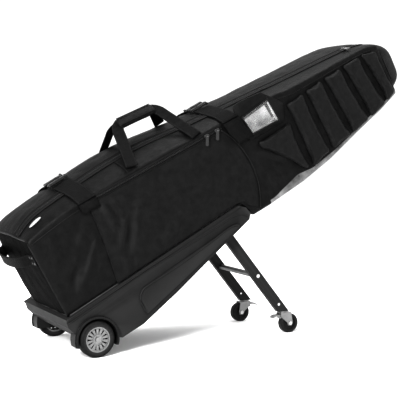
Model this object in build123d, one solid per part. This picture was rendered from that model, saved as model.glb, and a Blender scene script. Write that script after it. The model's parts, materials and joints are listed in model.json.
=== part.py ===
"""Wheeled golf travel case, standing tilted on two transport wheels and two folding legs with casters.

Lengths are millimetres.  The case is drawn in its own level frame: x runs along the case from the
wheel end to the top end, y runs across it from the near side to the far side, and z is square to its
base.  The legs and casters are drawn in the upright standing frame, whose origin is on the floor under
the wheel axle.  Everything is then placed so that the origin is the bottom centre of the standing case.
"""
import os
from math import atan2, cos, degrees, hypot, radians, sin

from build123d import *

# ---- driving dimensions -------------------------------------------------------------------------
TILT = 28.5
GAP = 0.5
RUNNING = 0.05

WHEEL_R = 51.0
WHEEL_WIDTH = 33.0
WHEEL_OUTER_Y = 184.0
RIM_R = 36.0
HUB_R = 14.0
SLOT_COUNT = 14
BEARING_R = 10.0
BEARING_WIDTH = 7.0
AXLE_R = 5.0
AXLE_TIP_Y = 187.0
AXLE_NUT_R = 9.0

ARCH_R = 58.0
ARCH_LIP_R = 64.0
HOUSING_INNER_Y = 138.0
HOUSING_WALL = 4.0

CASE_HALF_WIDTH = 170.0
FABRIC = 5.0
BASE_HALF_WIDTH = 172.0
BASE_WALL = 4.0
RIM_W = 141.0

LEG_PIVOT = (529.0, 98.0)
LEG_Y = 115.0
LEG_DEPTH = 30.0
LEG_THICK = 20.0
LEG_WALL = 1.6
LEG_END_Z = 68.0
PIVOT_R = 6.0
BUSH_R = 9.0
CROSSBAR_R = 8.0
CROSSBAR_AT = 199.0
LOWER_RIVET_AT = 318.0
LEG_CUT = 420.0
LEG_BOLT_R = 3.0
LEG_BOLT_HEAD_R = 6.0
EAR_GAP = 1.0
EAR = 3.0
STOP_R = 4.0

CASTER_X = 638.0
CASTER_R = 30.0
CASTER_WIDTH = 20.0
CASTER_TRAIL = 20.0
CASTER_PIN_R = 4.0
STEM_R = 5.0
STEM_SHANK_TOP = 82.0
FORK_TOP_Z = 64.0
FORK_PLATE = 3.0
CHEEK = 2.5
BRAKE_PIN = (4.5, 56.7)
BRAKE_PIN_R = 2.0

ZIP_Y = 87.0
LID_EDGE_Y = 84.0
ZIP_TAPE = 16.0
ZIP_RAISE = 1.6
WEBBING = 2.5

# Stations along the case: position, near seam height, zip line height, crown height.
STATIONS = [
    (-14.0, 380.0, 392.0, 396.0),
    (60.0, 388.0, 420.0, 428.0),
    (140.0, 393.0, 426.0, 434.0),
    (300.0, 388.0, 434.0, 447.0),
    (430.0, 382.0, 429.0, 440.0),
    (560.0, 376.0, 412.0, 421.0),
    (700.0, 369.0, 397.6, 405.5),
    (850.0, 362.0, 382.1, 388.8),
    (900.0, 345.0, 376.9, 383.3),
    (1200.0, 338.0, 346.0, 350.0),
    (1250.0, 322.0, 333.0, 338.0),
]
HINGE_LINE = ((-14.0, 382.0), (1250.0, 322.0))

UNDERSIDE = [
    (618.0, 84.0),
    (690.0, 83.0),
    (826.0, 85.0),
    (938.0, 97.0),
    (1059.0, 120.0),
    (1177.0, 140.0),
    (1250.0, 158.0),
]


# ---- small geometry helpers ---------------------------------------------------------------------
def upright_from_case(u, w):
    """Case-frame point to the upright frame: turned by the tilt about the wheel contact line."""
    turn = radians(TILT)
    return u * cos(turn) - w * sin(turn), u * sin(turn) + w * cos(turn)


def tilted(shape):
    return Rot(0, -TILT, 0) * shape


def plate(points, y_low, y_high):
    """Outline in the x-z plane, carried across from y_low to y_high."""
    outline = Plane.XZ * Polygon(*points, align=None)
    return Pos(0, y_low, 0) * extrude(outline, y_high - y_low, dir=(0, 1, 0))


def band(points, x_low, x_high):
    """Outline in the y-z plane, carried along the case from x_low to x_high."""
    outline = Plane.YZ * Polygon(*points, align=None)
    return Pos(x_low, 0, 0) * extrude(outline, x_high - x_low, dir=(1, 0, 0))


def cross_rod(radius, x, z, y_low, y_high):
    """Round rod across the case."""
    return Pos(x, (y_low + y_high) / 2, z) * Rot(90, 0, 0) * Cylinder(radius, y_high - y_low)


def ribbon(points, thickness):
    """Closed outline of a strip of even thickness on the left of a run of points."""
    outer = []
    for index, (a, b) in enumerate(points):
        before = points[max(index - 1, 0)]
        after = points[min(index + 1, len(points) - 1)]
        run_a = after[0] - before[0]
        run_b = after[1] - before[1]
        offset = thickness / hypot(run_a, run_b)
        outer.append((a - run_b * offset, b + run_a * offset))
    return points + outer[::-1]


def between(table, at, column):
    """Straight-line reading of one column of a station table."""
    for low, high in zip(table, table[1:]):
        if at <= high[0]:
            break
    share = (at - low[0]) / (high[0] - low[0])
    return low[column] + share * (high[column] - low[column])


def seam_w(u):
    return between(STATIONS, u, 1)


def zip_w(u):
    return between(STATIONS, u, 2)


def crown_w(u):
    return between(STATIONS, u, 3)


def hinge_w(u):
    return between(HINGE_LINE, u, 1)


def lofted(section, places):
    """Straight-sided solid through one outline per station."""
    return loft([Plane.YZ.offset(u) * Polygon(*section(u), align=None) for u in places], ruled=True)


def both_sides(shape):
    return [shape, mirror(shape, Plane.XZ)]


STATION_PLACES = [row[0] for row in STATIONS]


# ---- bag shell: sides, ends, underside, top gusset ------------------------------------------------
def side_outline(top_line):
    bottom = [(-12.0, RIM_W + GAP), (588.0, RIM_W + 1.0), (610.0, 123.0), (615.0, 99.0)] + UNDERSIDE
    return bottom + top_line[::-1]


def make_side_near():
    top_line = [(u, seam_w(u) - GAP) for u in STATION_PLACES[1:]]
    outline = side_outline([(-12.0, seam_w(-12.0) - GAP)] + top_line)
    return plate(outline, -CASE_HALF_WIDTH, -CASE_HALF_WIDTH + FABRIC)


def make_side_far():
    outline = side_outline([(-12.0, hinge_w(-12.0) - GAP), (1250.0, hinge_w(1250.0) - GAP)])
    return plate(outline, CASE_HALF_WIDTH - FABRIC, CASE_HALF_WIDTH)


def top_surface(u):
    """Outer top line of the bag at one station, from the near seam to the far seam."""
    far = hinge_w(u) + FABRIC + GAP
    crown = crown_w(u)
    zip_line = zip_w(u)
    seam = seam_w(u)
    return [
        (-CASE_HALF_WIDTH, seam + FABRIC),
        (-135.0, seam + FABRIC + 0.62 * (zip_line - seam - FABRIC)),
        (-ZIP_Y, zip_line),
        (-LID_EDGE_Y, zip_line),
        (-30.0, crown),
        (30.0, crown - 0.02 * (crown - far)),
        (90.0, crown - 0.22 * (crown - far)),
        (135.0, crown - 0.52 * (crown - far)),
        (CASE_HALF_WIDTH, far),
    ]


def strip_section(u, first, last, thickness):
    """Section of a top panel: the outer line and the same line one thickness lower."""
    line = top_surface(u)[first:last]
    return line + [(y, w - thickness) for y, w in line[::-1]]


def make_top_gusset():
    return lofted(lambda u: strip_section(u, 0, 3, FABRIC), STATION_PLACES)


def make_lid_panel():
    return lofted(lambda u: strip_section(u, 3, 9, FABRIC), STATION_PLACES)


def surface_w(u, y):
    return between(top_surface(u), y, 1)


def tape_section(u, y_low, y_high):
    low = surface_w(u, y_low)
    high = surface_w(u, y_high)
    return [(y_low, low), (y_high, high), (y_high, high + ZIP_RAISE), (y_low, low + ZIP_RAISE)]


def make_zipper_case():
    return lofted(lambda u: tape_section(u, -ZIP_Y - ZIP_TAPE, -ZIP_Y), STATION_PLACES)


def make_zipper_lid():
    return lofted(lambda u: tape_section(u, -LID_EDGE_Y, -LID_EDGE_Y + ZIP_TAPE), STATION_PLACES)


def end_outline(u, inset):
    """Outline of a wall across the case, clear under the top panels."""
    under_lid = [(y, w - FABRIC - 2 * GAP) for y, w in top_surface(u)]
    half = CASE_HALF_WIDTH - FABRIC - GAP
    inner = [point for point in under_lid if abs(point[0]) < half]
    near = between(under_lid, -half, 1)
    far = between(under_lid, half, 1)
    return [(-half, inset), (half, inset), (half, far)] + inner[::-1] + [(-half, near)]


def make_wheel_end():
    return band(end_outline(-12.0, RIM_W + GAP), -12.0, -12.0 + FABRIC)


# Nose sections: position, half width, lower height, upper height.
NOSE_STATIONS = [(1250.5, 170.0, 158.0, 327.0), (1300.0, 140.0, 172.0, 308.0), (1335.0, 84.0, 196.0, 276.0)]


def nose_section(row, wall):
    """Eight-sided section of the padded nose at the top end."""
    half = row[1] - wall
    low = row[2] + wall
    high = row[3] - wall
    corner = 0.22 * (high - low)
    return [
        (-half + corner, low),
        (half - corner, low),
        (half, low + corner),
        (half, high - corner),
        (half - corner, high),
        (-half + corner, high),
        (-half, high - corner),
        (-half, low + corner),
    ]


def make_nose():
    outer = loft([Plane.YZ.offset(row[0]) * Polygon(*nose_section(row, 0.0), align=None)
                  for row in NOSE_STATIONS], ruled=True)
    inner_rows = [(row[0] - FABRIC - 1.0,) + row[1:] for row in NOSE_STATIONS]
    inner = loft([Plane.YZ.offset(row[0]) * Polygon(*nose_section(row, FABRIC), align=None)
                  for row in inner_rows], ruled=True)
    return outer - inner


def make_underside():
    half = CASE_HALF_WIDTH - FABRIC - GAP
    inner = [(u, w + FABRIC) for u, w in UNDERSIDE[::-1]]
    return plate(UNDERSIDE + inner, -half, half)


def make_floor_board():
    """Stiff board on the roof of the base, bent down behind the base to meet the underside."""
    half = CASE_HALF_WIDTH - FABRIC - GAP
    top = RIM_W + GAP + FABRIC
    lower = [(-6.5, RIM_W + GAP), (588.0, RIM_W + 1.5), (613.0, 124.0), (620.5, 89.5)]
    upper = [(625.5, 89.5), (619.0, 125.0), (594.0, top), (-6.5, top)]
    return plate(lower + upper, -half, half)


# ---- pockets, padding and trim on the near side ---------------------------------------------------
POCKET_Y = (-178.0, -CASE_HALF_WIDTH - GAP)
POCKET_ZIP = ((200.0, 392.0), (640.0, 369.0))


def pocket_zip_w(u):
    return between(POCKET_ZIP, u, 1)


def make_side_pocket():
    outline = [
        (158.0, 146.0),
        (598.0, 146.0),
        (640.0, 96.0),
        (676.0, 102.0),
        (692.0, 160.0),
        (696.0, 220.0),
        (688.0, 278.0),
        (660.0, 340.0),
        (640.0, pocket_zip_w(640.0) - 8.0),
        (200.0, pocket_zip_w(200.0) - 8.0),
        (176.0, 366.0),
        (178.0, 275.0),
    ]
    return plate(outline, *POCKET_Y)


def make_pocket_zipper():
    ends = (190.0, 646.0)
    low = [(u, pocket_zip_w(u) - 7.0) for u in ends]
    high = [(u, pocket_zip_w(u) + 2.5) for u in ends[::-1]]
    return plate(low + high, POCKET_Y[0] + 3.0, POCKET_Y[1])


RIB_Y = 183.0
HINGE_CLEAR = 7.0
FIRST_RIB = [(724.0, 276.0), (861.0, 278.0), (860.0, 108.0), (846.0, 116.0), (806.0, 171.0), (730.0, 246.0)]
# Grooves between the padded bars: top position, top height, bottom position, bottom height.
RIB_EDGES = [
    (864.0, 328.0, 862.0, 104.0),
    (940.0, 331.0, 948.0, 118.0),
    (1016.0, 334.0, 1038.0, 126.0),
    (1094.0, 334.0, 1120.0, 136.0),
    (1170.0, 334.0, 1198.0, 150.0),
    (1236.0, 320.0, 1247.0, 166.0),
]


def make_rib_pads():
    """Padded bars on each side of the club-head end; the first is short, below the label pocket."""
    outlines = [FIRST_RIB]
    for low, high in zip(RIB_EDGES, RIB_EDGES[1:]):
        upper = [(low[0] + 2, low[1]), (high[0] - 2, high[1])]
        lower = [(high[2] - 2, high[3]), (low[2] + 2, low[3])]
        outlines.append(upper + lower)
    pads = []
    for outline in outlines:
        under_hinge = [(u, min(w, hinge_w(u) - HINGE_CLEAR)) for u, w in outline]
        pads.append(plate(outline, -RIB_Y, -CASE_HALF_WIDTH - GAP))
        pads.append(plate(under_hinge, CASE_HALF_WIDTH + GAP, RIB_Y))
    return pads


ID_WINDOW = [(718.0, 352.0), (727.0, 303.0), (822.0, 297.0), (812.0, 350.0)]


def make_id_pocket():
    outer = [(704.0, 362.0), (716.0, 290.0), (834.0, 284.0), (846.0, 334.0), (818.0, 358.0)]
    return plate(outer, -178.0, -CASE_HALF_WIDTH - GAP) - plate(ID_WINDOW, -190.0, -173.5)


def make_id_window():
    centre_u = sum(u for u, w in ID_WINDOW) / len(ID_WINDOW)
    centre_w = sum(w for u, w in ID_WINDOW) / len(ID_WINDOW)
    shrink = 0.97
    pane = [(centre_u + (u - centre_u) * shrink, centre_w + (w - centre_w) * shrink) for u, w in ID_WINDOW]
    return plate(pane, -177.5, -176.0)


# ---- grab handles on the two ends -------------------------------------------------------------------
END_HANDLE_LOW = 306.0
END_WEB = 34.0


def make_wheel_end_handle():
    """Webbing grip standing off the wheel-end panel, sewn down at both ends."""
    half_line = [(152.0, -12.5), (114.0, -12.5), (90.0, -38.0)]
    line = [(-y, x) for y, x in half_line] + [(0.0, -50.0)] + half_line[::-1]
    outline = [(x, y) for y, x in ribbon(line, -4.0)]
    sheet = Plane.XY * Polygon(*outline, align=None)
    return Pos(0, 0, END_HANDLE_LOW) * extrude(sheet, END_WEB, dir=(0, 0, 1))


def make_top_end_handle():
    """Webbing loop running down the nose."""
    upper = [(1316.0, 294.5), (1337.5, 276.0), (1348.0, 266.0), (1372.0, 250.0)]
    line = upper + [(1378.0, 224.0), (1364.0, 202.0), (1335.8, 206.0)]
    return plate(ribbon(line, 3.0), -END_WEB / 2, END_WEB / 2)


def make_end_handle_rivets():
    rivets = []
    for z in (END_HANDLE_LOW + 8.0, END_HANDLE_LOW + END_WEB - 8.0):
        for y in (-144.0, -126.0):
            stud = Pos(-18.1, y, z) * Rot(0, 90, 0) * Cylinder(3.5, 3.0)
            rivets += both_sides(stud)
    return rivets


# ---- compression straps ---------------------------------------------------------------------------
STRAPS = {"low": (156.0, 212.0), "high": (652.0, 708.0)}
STRAP_RISE = 4.5
STRAP_FOLD_RISE = 7.5
TAIL_DROP = 9.0
BUCKLE_HALF = 22.0
BUCKLE_Y = 2.0


def strap_line(u_low, u_high, places):
    """Line that clears the top by the strap rise over the whole width of the strap."""
    return [(y, max(surface_w(u_low, y), surface_w(u_high, y)) + STRAP_RISE) for y in places]


def strap_hinge_w(name):
    u_low, u_high = STRAPS[name]
    return max(seam_w(u_low), seam_w(u_high)) + STRAP_FOLD_RISE


def make_strap_near(name):
    """Near half of a strap, from its fold at the side seam up to the buckle."""
    u_low, u_high = STRAPS[name]
    line = [(-CASE_HALF_WIDTH - 5.0, strap_hinge_w(name))]
    line += strap_line(u_low, u_high, (-140.0, -100.0, -70.0, BUCKLE_Y - BUCKLE_HALF - 6.0))
    return band(ribbon(line, WEBBING), u_low, u_high)


def make_strap_far(name):
    u_low, u_high = STRAPS[name]
    line = strap_line(u_low, u_high, (BUCKLE_Y + BUCKLE_HALF + 6.0, 90.0, 135.0, 166.0))
    return band(ribbon(line, WEBBING), u_low, u_high)


def make_buckle(name, side):
    """Half of a side-release buckle, beside its mate with a small gap."""
    u_low, u_high = STRAPS[name]
    level = max(crown_w(u_low), crown_w(u_high)) + STRAP_RISE
    y_low = BUCKLE_Y + 0.4 if side > 0 else BUCKLE_Y - 0.4 - BUCKLE_HALF - 5.5
    body = Box(u_high - u_low + 6.0, BUCKLE_HALF + 5.5, 9.0, align=(Align.CENTER, Align.MIN, Align.MIN))
    body = fillet(body.edges().filter_by(Axis.Z), 4.0)
    return Pos((u_low + u_high) / 2, y_low, level - 1.5) * body


def make_strap_tails():
    """Sewn tail of the low strap and the hanging free tail of the high strap, on the near side."""
    low_a, low_b = STRAPS["low"]
    high_a, high_b = STRAPS["high"]
    top_low = strap_hinge_w("low") - TAIL_DROP
    top_high = strap_hinge_w("high") - TAIL_DROP
    near = -CASE_HALF_WIDTH - 11.0
    short = plate([(low_a, top_low - 26.0), (low_b, top_low - 26.0), (low_b, top_low), (low_a, top_low)],
                  near, near + WEBBING)
    long = plate([(high_a + 16.0, 300.0), (high_b + 18.0, 296.0), (high_b, top_high), (high_a, top_high)],
                 near - WEBBING, near)
    return [short, long]


# ---- carry handle ---------------------------------------------------------------------------------
HANDLE_AXIS = (-171.5, 397.0)
HANDLE_MIDDLE = 456.0
HANDLE_DROOP = 5.7
GRIP_LINE = (-48.0, 502.0)
GRIP_ENDS = (396.0, 526.0)
HANDLE_FEET = (346.0, 566.0)
FAR_FEET = (392.0, 586.0)
HANDLE_WEB = 36.0


def drooped(shape):
    """Turn the handle to follow the fall of the crown toward the top end."""
    pivot = (HANDLE_MIDDLE, 0, HANDLE_AXIS[1])
    return Pos(*pivot) * Rot(0, HANDLE_DROOP, 0) * Pos(-pivot[0], 0, -pivot[2]) * shape


def sloping_plane(foot, head):
    """Plane holding the case's long direction and the line from foot to head, given as (y, z)."""
    run = hypot(head[0] - foot[0], head[1] - foot[1])
    rise = ((head[0] - foot[0]) / run, (head[1] - foot[1]) / run)
    return Plane(origin=(0, foot[0], foot[1]), x_dir=(1, 0, 0), z_dir=(0, -rise[1], rise[0])), run


def handle_loop(foot, head, reach):
    """Flat webbing loop: two sloping legs joined by a bar along the grip."""
    plane, run = sloping_plane(foot, head)
    left, right = HANDLE_FEET
    half = HANDLE_WEB / 2
    outer = [
        (left - half, 0.0),
        (left + half, 0.0),
        (GRIP_ENDS[0] + 16.0, run - half),
        (GRIP_ENDS[1] - 16.0, run - half),
        (right - half, 0.0),
        (right + half, 0.0),
        (GRIP_ENDS[1] + 6.0, run + reach),
        (GRIP_ENDS[0] - 6.0, run + reach),
    ]
    return extrude(plane * Polygon(*outer, align=None), WEBBING, dir=plane.z_dir)


def make_handle_near():
    return handle_loop(HANDLE_AXIS, GRIP_LINE, 10.0)


def make_handle_grip():
    plane, run = sloping_plane(HANDLE_AXIS, GRIP_LINE)
    middle = (GRIP_ENDS[0] + GRIP_ENDS[1]) / 2
    section = Box(GRIP_ENDS[1] - GRIP_ENDS[0], 42.0, 24.0)
    section = fillet(section.edges().filter_by(Axis.X), 9.0)
    return plane.location * Pos(middle, run - 4.0, 2.0) * section - make_handle_near()


FAR_HANDLE_FOOT = (80.0, 447.0)
FAR_HANDLE_HEAD = (-4.0, 494.0)


def make_handle_far():
    plane, run = sloping_plane(FAR_HANDLE_HEAD, FAR_HANDLE_FOOT)
    left, right = FAR_FEET
    half = HANDLE_WEB / 2
    outline = [
        (left - half, run),
        (left + half, run),
        (GRIP_ENDS[0] + 16.0, HANDLE_WEB),
        (GRIP_ENDS[1] - 16.0, HANDLE_WEB),
        (right - half, run),
        (right + half, run),
        (GRIP_ENDS[1] + 4.0, 0.0),
        (GRIP_ENDS[0] - 4.0, 0.0),
    ]
    return extrude(plane * Polygon(*outline, align=None), WEBBING, dir=plane.z_dir)


def make_handle_patches():
    """Box-stitched webbing ends of the near handle on the shoulder of the bag."""
    patches = []
    for foot in HANDLE_FEET:
        u_low = foot - HANDLE_WEB / 2
        u_high = foot + HANDLE_WEB / 2
        line = [(y, max(surface_w(u_low, y), surface_w(u_high, y)) + GAP) for y in (-166.0, -135.0, -108.0)]
        patches.append(band(ribbon(line, WEBBING), u_low, u_high))
    return patches


# ---- moulded base, wheel housings and wheels --------------------------------------------------------
AXLE_U = WHEEL_R * sin(radians(TILT))
AXLE_W = WHEEL_R * cos(radians(TILT))

BASE_OUTLINE = [
    (-26.0, RIM_W),
    (-30.0, 116.0),
    (-17.0, 76.0),
    (AXLE_U, 60.0),
    (92.0, 5.0),
    (165.0, 3.0),
    (300.0, 25.0),
    (600.0, 86.0),
    (612.0, 99.0),
    (607.0, 122.0),
    (586.0, RIM_W),
]
BASE_CAVITY = [
    (-22.0, RIM_W - BASE_WALL),
    (-25.6, 116.0),
    (-13.0, 60.0),
    (-13.0, -60.0),
    (597.0, -60.0),
    (597.0, 88.0),
    (607.5, 100.0),
    (603.0, 120.0),
    (583.0, RIM_W - BASE_WALL),
]


def wheel_well(radius, y_low, y_high):
    return cross_rod(radius, AXLE_U, AXLE_W, y_low, y_high)


def make_base_shell():
    shell = plate(BASE_OUTLINE, -BASE_HALF_WIDTH, BASE_HALF_WIDTH)
    half = BASE_HALF_WIDTH - BASE_WALL
    shell -= plate(BASE_CAVITY, -half, half)
    for y_low in (-BASE_HALF_WIDTH - 1, HOUSING_INNER_Y - GAP):
        shell -= wheel_well(ARCH_LIP_R + GAP, y_low, y_low + BASE_HALF_WIDTH + 1 - HOUSING_INNER_Y + GAP)
    flange = [(-27.0, RIM_W - 7.0), (590.0, RIM_W - 7.0), (586.0, RIM_W - 1.0), (-26.5, RIM_W - 1.0)]
    for side in both_sides(plate(flange, BASE_HALF_WIDTH, BASE_HALF_WIDTH + 4.0)):
        shell += side
    panel = [(190.0, 22.0), (190.0, 74.0), (222.0, 94.0), (520.0, 98.0), (556.0, 92.0), (564.0, 84.0)]
    for side in both_sides(plate(panel, BASE_HALF_WIDTH, BASE_HALF_WIDTH + 2.5)):
        shell += side
    return shell


def make_wheel_housing():
    """Arch over one near wheel, with the bracket wall that carries the axle."""
    ring = wheel_well(ARCH_LIP_R, -AXLE_TIP_Y + 3.0, -HOUSING_INNER_Y)
    ring -= wheel_well(ARCH_R, -AXLE_TIP_Y, -HOUSING_INNER_Y - HOUSING_WALL)
    below = tilted_back_box(-200.0, 32.0, 400.0)
    ring -= below
    inner_cut = [(-60.0, -40.0), (AXLE_U + 2.0, -40.0), (-60.0, 68.0)]
    ring -= plate(inner_cut, -AXLE_TIP_Y - 5.0, -100.0)
    return ring - cross_rod(AXLE_R, AXLE_U, AXLE_W, -200.0, -100.0)


def tilted_back_box(x_low, z_high, length):
    """Level slab under a height in the upright frame, brought back into the case frame."""
    slab = Box(length, 600.0, 300.0, align=(Align.MIN, Align.CENTER, Align.MAX))
    return Rot(0, TILT, 0) * Pos(x_low, 0, z_high) * slab


def make_axles():
    """Shouldered axle bolt with its inner nut, one each side."""
    rod = cross_rod(AXLE_R, AXLE_U, AXLE_W, -AXLE_TIP_Y, -HOUSING_INNER_Y + 8.0)
    hexagon = extrude(RegularPolygon(AXLE_NUT_R, 6), 3.0, both=True)
    nut = Pos(AXLE_U, -HOUSING_INNER_Y + 3.5, AXLE_W) * Rot(90, 0, 0) * hexagon
    cap = cross_rod(AXLE_NUT_R - 1.0, AXLE_U, AXLE_W, -AXLE_TIP_Y, -WHEEL_OUTER_Y - GAP)
    return both_sides(rod + nut + cap)


def wheel_parts():
    """Near transport wheel: soft tyre, slotted rim and two bearings, about the axle line."""
    y_low = -WHEEL_OUTER_Y
    y_high = y_low + WHEEL_WIDTH
    tyre = cross_rod(WHEEL_R, 0, 0, y_low, y_high)
    tyre = fillet(tyre.edges(), 7.0)
    tyre -= cross_rod(RIM_R, 0, 0, y_low - 1, y_high + 1)
    rim = cross_rod(RIM_R, 0, 0, y_low + 1.5, y_high - 1.5)
    recess = cross_rod(RIM_R - 4.0, 0, 0, y_low, y_low + 5.0) - cross_rod(HUB_R, 0, 0, y_low, y_low + 5.0)
    rim -= recess
    back = cross_rod(RIM_R - 4.0, 0, 0, y_low + 13.0, y_high) - cross_rod(HUB_R, 0, 0, y_low + 12.0, y_high)
    rim -= back
    slot = [(HUB_R + 2.0, -0.9), (RIM_R - 6.0, -2.6), (RIM_R - 6.0, 2.6), (HUB_R + 2.0, 0.9)]
    for index in range(SLOT_COUNT):
        rim -= Rot(0, 360.0 / SLOT_COUNT * index, 0) * plate(slot, y_low - 1, y_high + 1)
    rim -= cross_rod(BEARING_R, 0, 0, y_low - 1, y_high + 1)
    bearings = []
    for start in (y_low + 1.5, y_high - 1.5 - BEARING_WIDTH):
        race = cross_rod(BEARING_R, 0, 0, start, start + BEARING_WIDTH)
        bearings.append(race - cross_rod(AXLE_R + RUNNING, 0, 0, start - 1, start + BEARING_WIDTH + 1))
    return tyre, rim, bearings


# ---- folding legs, drawn in the upright frame --------------------------------------------------------
PIVOT_X, PIVOT_Z = upright_from_case(*LEG_PIVOT)
LEG_ANGLE = degrees(atan2(LEG_END_Z - 2.0 - PIVOT_Z, CASTER_X - PIVOT_X))


def along_leg(distance, offset=0.0):
    """Point in the upright frame at a distance down the leg and an offset square to it."""
    turn = radians(LEG_ANGLE)
    x = PIVOT_X + distance * cos(turn) - offset * sin(turn)
    z = PIVOT_Z + distance * sin(turn) + offset * cos(turn)
    return x, z


def leg_prism(depth, thick, start, end):
    body = Box(end - start, thick, depth, align=(Align.MIN, Align.CENTER, Align.CENTER))
    return Pos(PIVOT_X, 0, PIVOT_Z) * Rot(0, -LEG_ANGLE, 0) * Pos(start, 0, 0) * body


def floor_slab(height):
    slab = Box(300.0, 100.0, 100.0, align=(Align.CENTER, Align.CENTER, Align.MAX))
    return Pos(CASTER_X, 0, height) * slab


def make_leg_tube():
    tube = leg_prism(LEG_DEPTH, LEG_THICK, -LEG_DEPTH / 2, LEG_CUT)
    tube = fillet(tube.edges().filter_by(lambda edge: edge.length > LEG_CUT / 2), 2.5)
    tube -= leg_prism(LEG_DEPTH - 2 * LEG_WALL, LEG_THICK - 2 * LEG_WALL, -LEG_DEPTH, LEG_CUT + 20.0)
    tube -= floor_slab(LEG_END_Z)
    half = LEG_THICK / 2 + 1
    round_end = cross_rod(LEG_DEPTH / 2, PIVOT_X, PIVOT_Z, -half, half)
    tube &= round_end + leg_prism(LEG_DEPTH + 2, 2 * half, 0.0, LEG_CUT + 20.0)
    tube -= cross_rod(BUSH_R, PIVOT_X, PIVOT_Z, -half, half)
    for at in (CROSSBAR_AT, LOWER_RIVET_AT):
        x, z = along_leg(at)
        tube -= cross_rod(LEG_BOLT_R, x, z, -half, half)
    return tube


def make_leg_plug():
    inset = 2 * LEG_WALL + 0.2
    inner = leg_prism(LEG_DEPTH - inset, LEG_THICK - inset, LOWER_RIVET_AT - 16.0, LEG_CUT + 20.0)
    plug = inner - floor_slab(LEG_END_Z)
    shank = Pos(CASTER_X, 0, LEG_END_Z - 1) * Cylinder(STEM_R, STEM_SHANK_TOP - LEG_END_Z + 1,
                                                       align=(Align.CENTER, Align.CENTER, Align.MIN))
    x, z = along_leg(LOWER_RIVET_AT)
    return plug - shank - cross_rod(LEG_BOLT_R, x, z, -LEG_THICK, LEG_THICK)


def make_leg_bush():
    half = LEG_THICK / 2
    bush = cross_rod(BUSH_R, PIVOT_X, PIVOT_Z, -half, half)
    return bush - cross_rod(PIVOT_R + RUNNING, PIVOT_X, PIVOT_Z, -half - 1, half + 1)


def leg_pair(shape):
    return [Pos(0, -LEG_Y, 0) * shape, Pos(0, LEG_Y, 0) * shape]


def make_crossbar():
    x, z = along_leg(CROSSBAR_AT)
    reach = LEG_Y - LEG_THICK / 2
    bar = cross_rod(CROSSBAR_R, x, z, -reach, reach)
    for side in both_sides(cross_rod(LEG_BOLT_R, x, z, reach - 22.0, reach + 1)):
        bar -= side
    return bar


def make_leg_bolts():
    """Crossbar bolts and stem rivets, heads on the outer faces of the tubes."""
    x, z = along_leg(CROSSBAR_AT)
    face = LEG_Y + LEG_THICK / 2
    bolt = cross_rod(LEG_BOLT_R, x, z, -face, -LEG_Y + LEG_THICK / 2 + 20.0)
    bolt += cross_rod(LEG_BOLT_HEAD_R, x, z, -face - 3.5, -face)
    x, z = along_leg(LOWER_RIVET_AT)
    rivet = cross_rod(LEG_BOLT_R, x, z, -face, -LEG_Y + LEG_THICK / 2)
    rivet += cross_rod(LEG_BOLT_HEAD_R - 1.5, x, z, -face - 2.0, -face)
    return both_sides(bolt) + both_sides(rivet)


def make_pivot_shaft():
    reach = LEG_Y + LEG_THICK / 2 + 6.0
    return cross_rod(PIVOT_R, PIVOT_X, PIVOT_Z, -reach, reach)


def stop_point():
    """Centre of the stop pin, touching the front face of the leg when it is unfolded."""
    return along_leg(12.0, LEG_DEPTH / 2 + STOP_R + 0.2)


def case_from_upright(x, z):
    turn = radians(TILT)
    return x * cos(turn) + z * sin(turn), -x * sin(turn) + z * cos(turn)


def make_leg_bracket():
    """Folded steel bracket under the roof of the base, with an ear each side of a leg."""
    inner = LEG_THICK / 2 + EAR_GAP
    ear = [(509.0, RIM_W - BASE_WALL - GAP), (562.0, RIM_W - BASE_WALL - GAP), (562.0, 84.0), (509.0, 84.0)]
    bracket = plate(ear, inner, inner + EAR) + plate(ear, -inner - EAR, -inner)
    top = [(509.0, 132.5), (562.0, 132.5), (562.0, 136.5), (509.0, 136.5)]
    bracket += plate(top, -inner - EAR, inner + EAR)
    stop_u, stop_w = case_from_upright(*stop_point())
    bracket -= cross_rod(PIVOT_R, LEG_PIVOT[0], LEG_PIVOT[1], -40.0, 40.0)
    return bracket - cross_rod(STOP_R, stop_u, stop_w, -40.0, 40.0)


def make_stop_pin():
    reach = LEG_THICK / 2 + EAR_GAP + EAR
    return cross_rod(STOP_R, *stop_point(), -reach, reach)


# ---- casters, drawn at the swivel axis in the upright frame -------------------------------------------
def make_stem():
    """Fixed stem with its bearing cup, pressed into the leg plug."""
    shank = Pos(0, 0, FORK_TOP_Z - FORK_PLATE) * Cylinder(
        STEM_R, STEM_SHANK_TOP - FORK_TOP_Z + FORK_PLATE, align=(Align.CENTER, Align.CENTER, Align.MIN))
    cup = Pos(0, 0, FORK_TOP_Z + 0.4) * Cylinder(12.0, LEG_END_Z - FORK_TOP_Z - 0.4,
                                                 align=(Align.CENTER, Align.CENTER, Align.MIN))
    return shank + cup


def make_fork():
    """Pressed fork trailing toward +x: top plate, two cheeks, brake pin."""
    inner = CASTER_WIDTH / 2 + 1.0
    cheek = [
        (-13.0, FORK_TOP_Z),
        (24.0, FORK_TOP_Z),
        (CASTER_TRAIL + 9.0, 33.0),
        (CASTER_TRAIL + 6.0, 23.0),
        (CASTER_TRAIL - 6.0, 23.0),
        (CASTER_TRAIL - 11.0, 33.0),
        (-13.0, 52.0),
    ]
    fork = plate(cheek, inner, inner + CHEEK) + plate(cheek, -inner - CHEEK, -inner)
    under = FORK_TOP_Z - FORK_PLATE
    top = [(-13.0, under), (24.0, under), (24.0, FORK_TOP_Z), (-13.0, FORK_TOP_Z)]
    fork += plate(top, -inner - CHEEK, inner + CHEEK)
    fork += cross_rod(BRAKE_PIN_R, -BRAKE_PIN[0], BRAKE_PIN[1], -inner - CHEEK, inner + CHEEK)
    fork -= cross_rod(CASTER_PIN_R, CASTER_TRAIL, CASTER_R, -40.0, 40.0)
    return fork - Cylinder(STEM_R + RUNNING, 200.0)


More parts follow.
